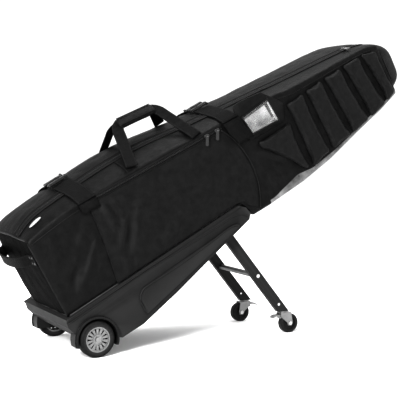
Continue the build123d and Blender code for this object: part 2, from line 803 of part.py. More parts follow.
def make_caster_pin():
    reach = CASTER_WIDTH / 2 + 1.0 + CHEEK
    pin = cross_rod(CASTER_PIN_R, CASTER_TRAIL, CASTER_R, -reach, reach)
    for side in both_sides(cross_rod(CASTER_PIN_R + 2.0, CASTER_TRAIL, CASTER_R, reach, reach + 2.5)):
        pin += side
    return pin


def make_caster_wheel():
    half = CASTER_WIDTH / 2
    wheel = fillet(cross_rod(CASTER_R, CASTER_TRAIL, CASTER_R, -half, half).edges(), 3.0)
    for side in both_sides(cross_rod(20.0, CASTER_TRAIL, CASTER_R, half - 3.0, half + 1)):
        wheel -= side
    for side in both_sides(cross_rod(9.0, CASTER_TRAIL, CASTER_R, half - 4.0, half)):
        wheel += side
    return wheel - cross_rod(CASTER_PIN_R + RUNNING, CASTER_TRAIL, CASTER_R, -40.0, 40.0)


def make_brake():
    outline = [
        (-1.0, 59.4),
        (-30.0, 57.0),
        (-40.0, 51.0),
        (-39.0, 48.5),
        (-28.0, 53.0),
        (-14.0, 53.5),
        (-13.0, 46.0),
        (-10.0, 46.5),
        (-9.0, 53.0),
        (-1.0, 54.4),
    ]
    lever = plate(outline, -10.4, 10.4)
    return lever - cross_rod(BRAKE_PIN_R + RUNNING, -BRAKE_PIN[0], BRAKE_PIN[1], -40.0, 40.0)


# ---- zip sliders and pulls -------------------------------------------------------------------------
SLIDER_LENGTH = 14.0
PULL_LENGTH = 26.0
POCKET_SLIDER_AT = {"left": 588.0, "right": 625.0}
MAIN_SLIDER_AT = 1176.0
PULL_ROD_AT = (-2.2, 5.6)
PULL_THICK = 2.4
PULL_WIDTH = 13.4
PADLOCK_HOLE_Y = -26.0
PADLOCK_HOLE_R = 3.2
MAIN_PULL_DROOP = 6.0


def line_angle(low, high):
    return degrees(atan2(high[1] - low[1], high[0] - low[0]))


def make_pocket_slider(at):
    """Slider on the pocket zip with a post for its pull."""
    body = fillet(Box(SLIDER_LENGTH, 4.0, 9.0).edges().filter_by(Axis.Y), 2.0)
    body = Pos(at, POCKET_Y[0] - 1.6, pocket_zip_w(at)) * Rot(0, -line_angle(*POCKET_ZIP), 0) * body
    return body + cross_rod(1.5, at, pocket_zip_w(at), POCKET_Y[0] - 8.4, POCKET_Y[0] - 3.0)


def make_pocket_pull(at):
    """Flat pull hanging straight down from the post, in the upright frame."""
    x, z = upright_from_case(at, pocket_zip_w(at))
    outline = [(-4.5, 4.0), (-4.5, -PULL_LENGTH), (-2.5, -PULL_LENGTH - 2.0), (2.5, -PULL_LENGTH - 2.0),
               (4.5, -PULL_LENGTH), (4.5, 4.0), (2.0, 6.0), (-2.0, 6.0)]
    tab = plate(outline, POCKET_Y[0] - 7.2, POCKET_Y[0] - 4.4)
    return Pos(x, 0, z) * (tab - cross_rod(1.5 + RUNNING, 0, 0, -300.0, 300.0))


def zip_top(u):
    """Height of the zip tape at its middle."""
    return surface_w(u, -ZIP_Y - ZIP_TAPE / 2) + ZIP_RAISE


def zip_line_angle():
    """Slope along the straight stretch of the zip, in degrees."""
    return degrees(atan2(zip_top(1200.0) - zip_top(870.0), 330.0))


MAIN_SLIDER_Y = -ZIP_Y - ZIP_TAPE / 2
MAIN_SLIDER_W = zip_top(MAIN_SLIDER_AT) + 1.4


def make_main_slider():
    """Slider lying on the near tape, with a lug that holds the pull and a padlock eye."""
    body = fillet(Box(SLIDER_LENGTH, 11.0, 4.0, align=(Align.CENTER, Align.CENTER, Align.MIN))
                  .edges().filter_by(Axis.Z), 2.0)
    lug = Pos(0, 0, 5.5) * Box(4.0, 9.0, 4.0)
    body = body + lug - Pos(0, *PULL_ROD_AT) * Rot(0, 90, 0) * Cylinder(PULL_THICK / 2 + RUNNING, 40.0)
    return Pos(MAIN_SLIDER_AT, MAIN_SLIDER_Y, MAIN_SLIDER_W) * Rot(0, -zip_line_angle(), 0) * body


def make_main_pull():
    """Bail and tab of the main zip, resting on the shoulder of the bag."""
    cheek = Box(3.0, 12.0, PULL_THICK, align=(Align.CENTER, Align.MAX, Align.CENTER))
    side = PULL_WIDTH / 2 - 1.5
    tab = Pos(-side, 0, 0) * cheek + Pos(side, 0, 0) * cheek
    grip = Box(PULL_WIDTH, 22.0, PULL_THICK, align=(Align.CENTER, Align.MAX, Align.CENTER))
    tab += Pos(0, -11.0, 0) * grip
    tab += Rot(0, 90, 0) * Cylinder(PULL_THICK / 2, PULL_WIDTH)
    tab -= Pos(0, PADLOCK_HOLE_Y, 0) * Cylinder(PADLOCK_HOLE_R, 20.0)
    return (Pos(MAIN_SLIDER_AT, MAIN_SLIDER_Y, MAIN_SLIDER_W) * Rot(0, -zip_line_angle(), 0)
            * Pos(0, *PULL_ROD_AT) * Rot(MAIN_PULL_DROOP, 0, 0) * tab)


# ---- inside the case --------------------------------------------------------------------------------
def make_head_padding():
    """Foam liner on the underside panel beneath the club heads."""
    half = CASE_HALF_WIDTH - FABRIC - 4.0
    line = [(u, w + FABRIC + GAP) for u, w in UNDERSIDE[2:6]]
    return plate(line + [(u, w + 8.0) for u, w in line[::-1]], -half, half)


def make_inner_straps():
    """Two tie-down straps lying on the floor board, and their plain centre buckles."""
    level = RIM_W + 6.0
    straps = []
    for start in (150.0, 420.0):
        outline = [(-160.0, level), (160.0, level), (160.0, level + 2.0), (-160.0, level + 2.0)]
        straps.append(band(outline, start, start + 40.0))
    return straps


def make_base_rivets():
    """Rivets that hold the bag and floor board down on the roof of the base."""
    rivets = []
    for u in (30.0, 250.0, 350.0, 560.0):
        for y in (-148.0, 148.0):
            rivets.append(Pos(u, y, RIM_W + 7.0) * Cylinder(6.0, 2.0))
    return rivets


# ---- putting it together ---------------------------------------------------------------------------
def group(solids):
    return Compound(children=list(solids))


def case_nodes():
    """Nodes drawn in the case's own frame, apart from the legs."""
    nodes = {
        "base_shell": make_base_shell(),
        "wheel_axles": group(make_axles()),
        "leg_brackets": group(leg_pair(make_leg_bracket())),
        "floor_board": make_floor_board(),
        "rivets": group(make_base_rivets() + make_end_handle_rivets()),
        "side_panel_near": make_side_near(),
        "side_panel_far": make_side_far(),
        "wheel_end_panel": make_wheel_end(),
        "nose_panel": make_nose(),
        "underside_panel": make_underside(),
        "top_gusset": make_top_gusset(),
        "main_zipper_case": make_zipper_case(),
        "side_pocket": make_side_pocket(),
        "pocket_zipper": make_pocket_zipper(),
        "rib_pads": group(make_rib_pads()),
        "id_pocket": make_id_pocket(),
        "id_window": make_id_window(),
        "wheel_end_handle": make_wheel_end_handle(),
        "top_end_handle": make_top_end_handle(),
        "sewn_webbing": group(make_strap_tails() + make_handle_patches()),
        "head_padding": make_head_padding(),
        "inner_straps": group(make_inner_straps()),
        "lid_panel": make_lid_panel(),
        "main_zipper_lid": make_zipper_lid(),
        "handle_strap_far": drooped(make_handle_far()),
        "handle_strap_near": drooped(make_handle_near()),
        "handle_grip": drooped(make_handle_grip()),
        "straps_near": group([make_strap_near(name) for name in STRAPS]),
        "straps_far": group([make_strap_far(name) for name in STRAPS]),
        "buckles_near": group([make_buckle(name, -1) for name in STRAPS]),
        "buckles_far": group([make_buckle(name, 1) for name in STRAPS]),
        "main_slider": make_main_slider(),
        "main_pull": make_main_pull(),
    }
    housing = make_wheel_housing()
    for side, shape in zip(("near", "far"), both_sides(housing)):
        nodes[f"wheel_housing_{side}"] = shape
    for side, at in POCKET_SLIDER_AT.items():
        nodes[f"pocket_slider_{side}"] = make_pocket_slider(at)
    return {name: tilted(shape) for name, shape in nodes.items()}


def upright_nodes():
    """Wheels, legs, casters and hanging pulls, drawn in the upright frame."""
    nodes = {
        "leg_tube_near": leg_pair(make_leg_tube())[0],
        "leg_tube_far": leg_pair(make_leg_tube())[1],
        "leg_crossbar": make_crossbar(),
        "leg_bolts": group(make_leg_bolts()),
        "leg_inserts": group(leg_pair(make_leg_bush()) + leg_pair(make_leg_plug())),
        "leg_pins": group([make_pivot_shaft()] + leg_pair(make_stop_pin())),
        "caster_stems": group([Pos(CASTER_X, 0, 0) * shape for shape in leg_pair(make_stem())]),
    }
    tyre, rim, bearings = wheel_parts()
    wheel = {"tyre": tyre, "rim": rim, "wheel_bearings": group(bearings)}
    for name, shape in wheel.items():
        placed = Pos(0, 0, WHEEL_R) * shape
        nodes[f"{name}_near"] = placed
        nodes[f"{name}_far"] = mirror(placed, Plane.XZ)
    caster = {
        "caster_fork": make_fork(),
        "caster_pin": make_caster_pin(),
        "caster_wheel": make_caster_wheel(),
        "caster_brake": make_brake(),
    }
    for name, shape in caster.items():
        nodes[f"{name}_near"] = Pos(CASTER_X, -LEG_Y, 0) * shape
        nodes[f"{name}_far"] = Pos(CASTER_X, LEG_Y, 0) * Rot(0, 0, 180) * shape
    for side, at in POCKET_SLIDER_AT.items():
        nodes[f"pocket_pull_{side}"] = make_pocket_pull(at)
    return nodes


def bottom_centre(nodes):
    boxes = [shape.bounding_box() for shape in nodes.values()]
    low_x = min(box.min.X for box in boxes)
    high_x = max(box.max.X for box in boxes)
    low_y = min(box.min.Y for box in boxes)
    high_y = max(box.max.Y for box in boxes)
    return (low_x + high_x) / 2, (low_y + high_y) / 2, min(box.min.Z for box in boxes)


standing = {**case_nodes(), **upright_nodes()}
ORIGIN = bottom_centre(standing)

os.makedirs("parts", exist_ok=True)
for node, solid in standing.items():
    placed_solid = Pos(-ORIGIN[0], -ORIGIN[1], -ORIGIN[2]) * solid
    placed_solid.label = node
    export_step(placed_solid, f"parts/{node}.step")
print(len(standing), "nodes, origin at", [round(value, 3) for value in ORIGIN])
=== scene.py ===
"""Looks of the wheeled golf travel case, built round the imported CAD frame.

Lengths in the tables are millimetres in the case's own frame: u along the case from the wheel end,
v across it from the near side, w square to its base.
"""

import json
from math import cos, exp, hypot, pi, radians, sin

import bmesh
import bpy
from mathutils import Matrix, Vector, noise

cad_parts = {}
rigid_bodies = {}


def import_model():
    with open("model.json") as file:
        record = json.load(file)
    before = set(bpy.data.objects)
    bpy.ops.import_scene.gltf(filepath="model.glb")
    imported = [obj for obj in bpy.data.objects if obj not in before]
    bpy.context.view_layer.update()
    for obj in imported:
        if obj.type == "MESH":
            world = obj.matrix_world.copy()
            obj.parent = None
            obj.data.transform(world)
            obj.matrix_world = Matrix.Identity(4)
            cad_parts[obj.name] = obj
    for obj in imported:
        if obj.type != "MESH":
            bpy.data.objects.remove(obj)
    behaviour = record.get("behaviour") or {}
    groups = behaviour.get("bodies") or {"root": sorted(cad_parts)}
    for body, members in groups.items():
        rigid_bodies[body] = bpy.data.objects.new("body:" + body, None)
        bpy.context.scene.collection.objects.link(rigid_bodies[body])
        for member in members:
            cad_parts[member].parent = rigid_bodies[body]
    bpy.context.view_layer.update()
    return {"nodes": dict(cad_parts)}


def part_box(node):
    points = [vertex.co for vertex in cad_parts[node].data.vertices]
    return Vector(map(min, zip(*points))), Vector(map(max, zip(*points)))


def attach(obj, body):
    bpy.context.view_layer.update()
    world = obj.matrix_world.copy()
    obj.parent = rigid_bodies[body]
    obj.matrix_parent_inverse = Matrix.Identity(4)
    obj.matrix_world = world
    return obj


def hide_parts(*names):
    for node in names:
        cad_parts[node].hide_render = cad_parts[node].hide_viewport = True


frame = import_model()

TILT = radians(28.5)
WHEEL_LOW, WHEEL_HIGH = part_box("tyre_near")
AXLE_X = (WHEEL_LOW[0] + WHEEL_HIGH[0]) / 2


def case(u, v, w):
    """Point of the case's own frame, in the row frame."""
    return Vector((AXLE_X + (u * cos(TILT) - w * sin(TILT)) / 1000, v / 1000,
                   (u * sin(TILT) + w * cos(TILT)) / 1000))


def drawn_in(u, v):
    """Station u, moved in where the far corner of the wheel end is rounded."""
    return u + 28.0 * max(0.0, (v - 90.0) / 80.0) ** 2 * max(0.0, (44.0 - u) / 58.0)


def back_to_case(point):
    x = (point.x - AXLE_X) * 1000
    z = point.z * 1000
    return x * cos(TILT) + z * sin(TILT), point.y * 1000, -x * sin(TILT) + z * cos(TILT)


# ---- readings along the case
HALF = 170.0
ZIP_V = 85.5
STATIONS = [
    (-14, 380, 391, 395),
    (20, 384, 408, 415),
    (60, 388, 419, 426),
    (140, 393, 426, 434),
    (300, 388, 434, 446),
    (430, 382, 429, 439),
    (560, 376, 412, 420),
    (700, 369, 397, 405),
    (850, 361, 382, 388),
    (900, 350, 376, 383),
    (1200, 337, 346, 350),
    (1250, 322, 333, 337),
]
BOTTOM = [
    (-14, 142.5), (588, 142.5), (604, 128), (614, 104), (622, 86), (690, 83.5),
    (826, 85.5), (938, 97), (1059, 120), (1177, 140), (1250, 158),
]
HINGE = [(-14, 382), (1250, 322)]


def straight(table, at, column=1):
    for low, high in zip(table, table[1:]):
        if at <= high[0]:
            break
    share = min(max((at - low[0]) / (high[0] - low[0]), 0), 1)
    return low[column] + share * (high[column] - low[column])


def smooth(table, at, column=1):
    """Smooth curve through a table, with the slope at each row taken from its neighbours."""
    if at <= table[0][0] or at >= table[-1][0]:
        return straight(table, at, column)
    k = max(i for i in range(len(table) - 1) if table[i][0] <= at)
    slopes = []
    for i in (k, k + 1):
        a, b = table[max(i - 1, 0)], table[min(i + 1, len(table) - 1)]
        slopes.append((b[column] - a[column]) / (b[0] - a[0]))
    (a0, a1), width = (table[k][column], table[k + 1][column]), table[k + 1][0] - table[k][0]
    t = (at - table[k][0]) / width
    return ((2 * t ** 3 - 3 * t ** 2 + 1) * a0 + (t ** 3 - 2 * t ** 2 + t) * width * slopes[0]
            + (-2 * t ** 3 + 3 * t ** 2) * a1 + (t ** 3 - t ** 2) * width * slopes[1])


def top_w(u, v):
    """Height of the outer face of the top at one place."""
    seam, zip_line, crown = (smooth(STATIONS, u, column) for column in (1, 2, 3))
    far = straight(HINGE, u) + 5.5
    line = [
        (-HALF, seam + 4), (-150.0, seam + 4 + 0.42 * (zip_line - seam)),
        (-120.0, seam + 4 + 0.78 * (zip_line - seam - 4)),
        (-ZIP_V, zip_line), (-30.0, crown), (30.0, crown - 0.02 * (crown - far)),
        (90.0, crown - 0.22 * (crown - far)), (135.0, crown - 0.52 * (crown - far)), (HALF, far),
    ]
    return smooth(line, v)


def bumpiness(u, v, w, size):
    return noise.noise(Vector((u, v, w)) / size)


def fold_height(folds, u, w):
    """Sum of soft ridges and valleys, each along a line from one point to another."""
    total = 0.0
    for u0, w0, u1, w1, width, height in folds:
        run = hypot(u1 - u0, w1 - w0)
        along = ((u - u0) * (u1 - u0) + (w - w0) * (w1 - w0)) / run ** 2
        if not 0 < along < 1:
            continue
        across = ((u - u0) * (w1 - w0) - (w - w0) * (u1 - u0)) / run + 3.0 * bumpiness(u, 7, w, 40)
        total += 1.9 * height * sin(pi * along) ** 0.7 * exp(-((across / width) ** 2))
    return total


SIDE_FOLDS = [
    (176, 300, 8, 146, 10, 5), (150, 345, 60, 240, 12, 3.5), (120, 300, 4, 170, 9, -4),
    (178, 250, 60, 148, 7, 2.5), (165, 384, 30, 360, 12, 2.5), (60, 380, 10, 250, 18, 3),
    (706, 262, 800, 176, 9, 6), (712, 246, 790, 168, 8, -4), (742, 270, 846, 208, 16, -3),
    (700, 190, 718, 96, 7, 4), (722, 180, 742, 100, 6, -3), (740, 170, 768, 104, 7, 3.5),
    (690, 250, 702, 180, 6, 2.5), (640, 300, 664, 180, 7, 2),
]
POCKET_FOLDS = [
    (214, 378, 226, 270, 8, 4.5), (232, 372, 250, 280, 7, -3), (250, 376, 258, 300, 7, 3),
    (196, 372, 214, 352, 7, -4), (262, 300, 196, 208, 10, 4.5), (286, 306, 214, 190, 9, -3),
    (330, 330, 224, 176, 13, 2.6), (208, 214, 198, 156, 8, 3), (232, 196, 216, 152, 6, -3),
    (470, 240, 300, 150, 20, 2.4), (560, 250, 420, 160, 18, 1.8), (520, 356, 505, 310, 6, 1.5),
    (548, 354, 540, 300, 6, 1.5), (585, 350, 590, 290, 6, -1.4), (600, 176, 622, 132, 7, -4),
    (588, 168, 612, 150, 6, 3.5), (640, 190, 650, 110, 7, 2.5), (656, 310, 672, 200, 8, 2.2),
    (620, 340, 650, 240, 9, 1.8),
]


def cloth_noise(u, v, w, amount):
    layers = ((0.7, 85.0), (0.3, 30.0), (0.1, 12.0))
    return amount * sum(share * bumpiness(u, v, w, size) for share, size in layers)


# ---- materials
def material(name, shades, rough, mottle, bumps, metal=0.0, coat=0.0, wear=None, specular=0.5, sheen=0.0):
    """Procedural grey finish: mottled shade and roughness, layered bumps and paler worn edges."""
    made = bpy.data.materials.new(name)
    made.use_nodes = True
    nodes, links = made.node_tree.nodes, made.node_tree.links
    shader = nodes["Principled BSDF"]

    def node(kind, vector=None, **values):
        new = nodes.new("ShaderNode" + kind)
        for socket, value in values.items():
            new.inputs[socket.replace("_", " ")].default_value = value
        if vector:
            links.new(vector, new.inputs["Vector"])
        return new

    for socket, value in (("Metallic", metal), ("Sheen Weight", sheen), ("Sheen Roughness", 0.45),
                          ("Coat Weight", coat), ("Coat Roughness", 0.25), ("Specular IOR Level", specular)):
        shader.inputs[socket].default_value = value
    turn = node("Mapping", node("TexCoord").outputs["Object"], Rotation=(0, TILT, 0)).outputs["Vector"]
    cloud = node("TexNoise", turn, Scale=mottle, Detail=6.0)
    ramp = node("ValToRGB")
    for element, position, shade in zip(ramp.color_ramp.elements, (0.32, 0.68), shades):
        element.position = position
        element.color = (shade, shade, shade, 1)
    links.new(cloud.outputs["Fac"], ramp.inputs["Fac"])
    colour = ramp.outputs["Color"]
    if wear:
        edge = node("MapRange", From_Min=0.52, From_Max=0.62, To_Min=0.0, To_Max=0.8)
        links.new(node("NewGeometry").outputs["Pointiness"], edge.inputs["Value"])
        mix = node("Mix")
        mix.data_type = "RGBA"
        links.new(edge.outputs["Result"], mix.inputs["Factor"])
        links.new(colour, mix.inputs["A"])
        mix.inputs["B"].default_value = (wear, wear, wear, 1)
        colour = mix.outputs["Result"]
    links.new(colour, shader.inputs["Base Color"])
    gloss = node("MapRange", To_Min=rough[0], To_Max=rough[1])
    links.new(cloud.outputs["Fac"], gloss.inputs["Value"])
    links.new(gloss.outputs["Result"], shader.inputs["Roughness"])
    normal = None
    for kind, scale, strength, depth in bumps:
        if kind == "weave":
            height = None
            for axis in "XYZ":
                wave = node("TexWave", turn, Scale=scale, Distortion=0.6)
                wave.bands_direction = axis
                if height is None:
                    height = wave.outputs["Fac"]
                    continue
                total = node("Math")
                links.new(height, total.inputs[0])
                links.new(wave.outputs["Fac"], total.inputs[1])
                height = total.outputs["Value"]
        elif kind == "cells":
            height = node("TexVoronoi", turn, Scale=scale).outputs["Distance"]
        else:
            height = node("TexNoise", turn, Scale=scale).outputs["Fac"]
        bump = node("Bump", Strength=strength, Distance=depth)
        links.new(height, bump.inputs["Height"])
        if normal:
            links.new(normal, bump.inputs["Normal"])
        normal = bump.outputs["Normal"]
    if normal:
        links.new(normal, shader.inputs["Normal"])
    return made


CRINKLE = ("noise", 30.0, 0.5, 0.006)
WEAVE = ("weave", 230.0, 0.25, 0.0004)
polyester = material("polyester", (0.0035, 0.0065), (0.38, 0.56), 45, [CRINKLE, WEAVE], specular=0.12)
ballistic = material("ballistic", (0.0045, 0.0085), (0.45, 0.62), 60,
    [("noise", 55.0, 0.25, 0.003), ("weave", 170.0, 0.35, 0.0005)], specular=0.12)
# lighter copy of the bag cloth for the padded bars: painted light, so their crowns stand out from the shaded
# grooves
rib_cloth_painted_light = material("rib_cloth_painted_light", (0.006, 0.011), (0.42, 0.6), 70,
    [("noise", 60.0, 0.2, 0.002), WEAVE], specular=0.12)
# darker, less glossy copy of the bag cloth for the wheel end: painted shade for the shadow that end sits in
end_cloth_painted_shade = material("end_cloth_painted_shade", (0.0012, 0.003), (0.6, 0.76), 45, [CRINKLE, WEAVE], specular=0.03)
lining = material("lining", (0.035, 0.055), (0.7, 0.85), 45, [("weave", 150.0, 0.4, 0.0006)], sheen=0.2)
webbing = material("webbing", (0.005, 0.009), (0.45, 0.62), 120,
    [("weave", 120.0, 0.6, 0.0009)], specular=0.05)
thread = material("thread", (0.012, 0.02), (0.5, 0.7), 400, [("noise", 900.0, 0.4, 0.0004)], specular=0.2)
piping = material("piping", (0.006, 0.011), (0.32, 0.46), 90,
    [("noise", 300.0, 0.2, 0.0005)], specular=0.12)
zip_tape = material("zip_tape", (0.005, 0.008), (0.5, 0.66), 160,
    [("weave", 260.0, 0.5, 0.0005)], specular=0.12)
zip_coil = material("zip_coil", (0.012, 0.02), (0.25, 0.4), 300,
    [("noise", 700.0, 0.2, 0.0003)], specular=0.3)
zip_metal = material("zip_metal", (0.25, 0.36), (0.22, 0.36), 250,
    [("noise", 500.0, 0.1, 0.0002)], metal=1.0)
base_plastic = material("base_plastic", (0.007, 0.011), (0.42, 0.56), 30,
    [("cells", 620.0, 0.12, 0.0003), ("noise", 14.0, 0.12, 0.004)], specular=0.08, wear=0.035)
flare_plastic = material("flare_plastic", (0.003, 0.005), (0.26, 0.38), 40,
    [("noise", 30.0, 0.1, 0.002)], specular=0.08, wear=0.02)
buckle_plastic = material("buckle_plastic", (0.006, 0.009), (0.2, 0.32), 120,
    [("noise", 200.0, 0.1, 0.0004)], specular=0.16, wear=0.04, coat=0.1)
grey_sheet = material("grey_sheet", (0.02, 0.16), (0.2, 0.4), 22, [("noise", 45.0, 0.4, 0.003)], coat=0.2)
tyre_rubber = material("tyre_rubber", (0.007, 0.012), (0.55, 0.75), 140,
    [("cells", 480.0, 0.2, 0.0004), ("noise", 90.0, 0.15, 0.001)], specular=0.14, wear=0.03)
rim_plastic = material("rim_plastic", (0.13, 0.18), (0.3, 0.42), 80,
    [("noise", 300.0, 0.12, 0.0004)], metal=0.35, wear=0.16)
leg_paint = material("leg_paint", (0.004, 0.007), (0.32, 0.44), 70,
    [("noise", 420.0, 0.12, 0.0003)], specular=0.08, wear=0.03)
crossbar_metal = material("crossbar_metal", (0.05, 0.09), (0.3, 0.42), 90,
    [("noise", 300.0, 0.15, 0.0004)], metal=0.6, wear=0.16)
steel = material("steel", (0.13, 0.21), (0.28, 0.44), 110,
    [("noise", 240.0, 0.15, 0.0005)], metal=0.8, wear=0.25)
bright_bolt = material("bright_bolt", (0.4, 0.5), (0.15, 0.28), 300,
    [("noise", 600.0, 0.1, 0.0002)], metal=1.0)
nylon = material("nylon", (0.03, 0.05), (0.4, 0.55), 100, [("noise", 350.0, 0.2, 0.0004)])
caster_tread = material("caster_tread", (0.008, 0.014), (0.34, 0.5), 130,
    [("noise", 260.0, 0.2, 0.0005)], specular=0.14, wear=0.05)
board = material("board", (0.05, 0.075), (0.75, 0.9), 60, [("noise", 500.0, 0.5, 0.001)])
card = material("card", (0.05, 0.42), (0.35, 0.5), 16, [("noise", 300.0, 0.08, 0.0004)])
badge = material("badge", (0.2, 0.28), (0.3, 0.42), 200, [("weave", 400.0, 0.2, 0.0003)])
window_film = material("window_film", (0.25, 0.35), (0.08, 0.16), 30, [("noise", 25.0, 0.25, 0.002)])
window_film.node_tree.nodes["Principled BSDF"].inputs["Alpha"].default_value = 0.15

CAD_FINISH = {
    "base_shell": base_plastic, "wheel_housing_near": flare_plastic, "wheel_housing_far": flare_plastic,
    "wheel_axles": steel, "leg_brackets": steel, "leg_pins": steel, "leg_inserts": nylon,
    "floor_board": board, "rivets": nylon, "leg_tube_near": leg_paint, "leg_tube_far": leg_paint,
    "leg_crossbar": crossbar_metal, "leg_bolts": bright_bolt, "caster_stems": steel,
    "main_slider": zip_metal, "main_pull": zip_metal,
}
for side in ("near", "far"):
    CAD_FINISH.update({
        f"tyre_{side}": tyre_rubber, f"rim_{side}": rim_plastic, f"wheel_bearings_{side}": steel,
        f"caster_fork_{side}": steel, f"caster_pin_{side}": bright_bolt, f"caster_wheel_{side}": caster_tread,
        f"caster_brake_{side}": steel,
    })
for side in ("left", "right"):
    CAD_FINISH.update({f"pocket_slider_{side}": zip_metal, f"pocket_pull_{side}": buckle_plastic})
for node, finish in CAD_FINISH.items():
    data = frame["nodes"][node].data
    if not data.materials:
        data.materials.append(finish)
    for index in range(len(data.materials)):
        data.materials[index] = finish


# ---- making pieces
def placed(name, data):
    made = bpy.data.objects.new(name, data)
    bpy.context.scene.collection.objects.link(made)
    return made


def piece_from(name, points, faces, finishes, face_slots=None):
    mesh = bpy.data.meshes.new(name)
    mesh.from_pydata([tuple(point) for point in points], [], faces)
    for finish in finishes:
        mesh.materials.append(finish)
    if face_slots:
        for face, slot in zip(mesh.polygons, face_slots):
            face.material_index = slot
    mesh.validate()
    mesh.shade_smooth()
    return placed(name, mesh)


def fix_normals(made):
    shape = bmesh.new()
    shape.from_mesh(made.data)
    bmesh.ops.recalc_face_normals(shape, faces=shape.faces)
    shape.to_mesh(made.data)
    shape.free()


def belongs(made, body, slot, *nodes):
    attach(made, body)
    if nodes:
        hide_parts(*nodes)
    return made


def subdivided(made, levels=1):
    step = made.modifiers.new("subdivision", "SUBSURF")
    step.levels = step.render_levels = levels
    return made


def thickened(made, thickness, inside=0):
    step = made.modifiers.new("thickness", "SOLIDIFY")
    step.thickness = thickness / 1000
    step.offset = -1
    step.material_offset = inside
    return made


def grid_faces(rows, columns, wrap=False):
    last = columns if wrap else columns - 1
    return [(i * columns + j, (i + 1) * columns + j, (i + 1) * columns + (j + 1) % columns,
             i * columns + (j + 1) % columns) for i in range(rows - 1) for j in range(last)]


def capped_faces(rows, columns):
    """Faces of a closed tube of rings, with a flat cap on each end."""
    caps = [tuple(range(columns)), tuple(range((rows - 1) * columns, rows * columns))[::-1]]
    return grid_faces(rows, columns, wrap=True) + caps


def surface(name, rows, finishes, thickness=0.0, inside=0, levels=1, flip=False, face_slots=None):
    """Curved sheet through rows of points, given a thickness on its inner side."""
    faces = grid_faces(len(rows), len(rows[0]))
    if flip:
        faces = [face[::-1] for face in faces]
    made = piece_from(name, [point for row in rows for point in row], faces, finishes, face_slots)
    if thickness:
        thickened(made, thickness, inside)
    return subdivided(made, levels) if levels else made


def run_through(points, step):
    """Points at even steps on a smooth curve through the given ones."""
    points = [Vector(point) for point in points]
    fine = []
    for k in range(len(points) - 1):
        a, b, c, d = (points[min(max(k + n, 0), len(points) - 1)] for n in (-1, 0, 1, 2))
        count = max(2, int((c - b).length / step * 3))
        for i in range(count):
            t = i / count
            fine.append(0.5 * (2 * b + (c - a) * t + (2 * a - 5 * b + 4 * c - d) * t ** 2
                               + (3 * b - a - 3 * c + d) * t ** 3))
    fine.append(points[-1])
    total = sum((q - p).length for p, q in zip(fine, fine[1:]))
    count = max(2, round(total / step))
    result, passed, goal = [fine[0]], 0.0, 1
    for p, q in zip(fine, fine[1:]):
        length = (q - p).length
        while goal < count and length > 0 and passed + length >= goal * total / count:
            result.append(p.lerp(q, (goal * total / count - passed) / length))
            goal += 1
        passed += length
    return result + [fine[-1]]


def tube(name, points, radius, finish, step=8.0, sides=8):
    """Round cord sewn along a run of case points."""
    line = run_through(points, step)
    rings = []
    for k, here in enumerate(line):
        along = (line[min(k + 1, len(line) - 1)] - line[max(k - 1, 0)]).normalized()
        across = along.cross(Vector((0, 0, 1)) if abs(along.z) < 0.9 else Vector((0, 1, 0))).normalized()
        up = across.cross(along)
        for s in range(sides):
            turn = 2 * pi * s / sides
            rings.append(case(*(here + across * (radius * cos(turn)) + up * (radius * sin(turn)))))
    made = piece_from(name, rings, capped_faces(len(line), sides), [finish])
    fix_normals(made)
    return made


def stitch_row(points, faces, line, facing, length=3.2, gap=2.0, width=0.9, rise=0.45):
    """Adds a row of short raised stitches along a line of case points."""
    total = sum((q - p).length for p, q in zip(line, line[1:]))
    at = gap
    while at + length < total:
        ends = []
        for goal in (at, at + length):
            walked = 0.0
            for p, q in zip(line, line[1:]):
                run = (q - p).length
                if run > 0 and walked + run >= goal:
                    ends.append(p.lerp(q, (goal - walked) / run))
                    break
                walked += run
        if len(ends) == 2:
            a, b = ends
            side = (b - a).cross(facing).normalized() * width / 2
            up = facing * rise
            base = len(points)
            middle = (a + b) / 2
            for spot in (a - side, a + side, b + side, b - side, middle - side + up, middle + side + up):
                points.append(case(*spot))
            faces += [(base, base + 1, base + 5, base + 4), (base + 3, base + 4, base + 5, base + 2),
                      (base, base + 4, base + 3), (base + 1, base + 2, base + 5)]
        at += length + gap


def strap(name, centre, edge, thickness, step=8.0):
    """Webbing through pairs of edge points: centre gives the path, edge(point, k) the half width vector."""
    line = run_through(centre, step)
    profile = [(-1.0, 0.0), (-0.97, 0.5), (-0.8, 0.62), (0.0, 0.5), (0.8, 0.62), (0.97, 0.5), (1.0, 0.0),
               (0.97, -0.5), (0.0, -0.5), (-0.97, -0.5)]
    points, left, right = [], [], []
    for k, here in enumerate(line):
        along = (line[min(k + 1, len(line) - 1)] - line[max(k - 1, 0)]).normalized()
        half = edge(here, k / (len(line) - 1))
        up = half.cross(along).normalized()
        if up.length == 0:
            up = Vector((0, 0, 1))
        for across, height in profile:
            points.append(case(*(here + half * across + up * thickness * height)))
        left.append(here - half * 0.86 + up * thickness * 0.62)
        right.append(here + half * 0.86 + up * thickness * 0.62)
    made = piece_from(name, points, capped_faces(len(line), len(profile)), [webbing, thread])
    fix_normals(made)
    extra_points, extra_faces = [], []
    middle = len(line) // 2
    up = (line[middle] - line[middle - 1]).cross(edge(line[middle], 0.5)).normalized() * -1
    for row in (left, right):
        stitch_row(extra_points, extra_faces, row, up)
    seams = piece_from(name + "_stitches", extra_points, extra_faces, [thread])
    seams.parent = made
    return made


def rounded_block(name, centre, size, finish, bevel):
    """Small moulded block with rolled edges, sized along u, v and w."""
    shape = bmesh.new()
    bmesh.ops.create_cube(shape, size=1.0)
    bmesh.ops.scale(shape, vec=size, verts=shape.verts)
    bmesh.ops.bevel(shape, geom=shape.edges[:], offset=bevel, segments=3, affect="EDGES", profile=0.6)
    centre = Vector(centre)
    for vertex in shape.verts:
        vertex.co = case(*(centre + vertex.co))
    mesh = bpy.data.meshes.new(name)
    shape.to_mesh(mesh)
    shape.free()
    mesh.materials.append(finish)
    mesh.shade_smooth()
    return placed(name, mesh)


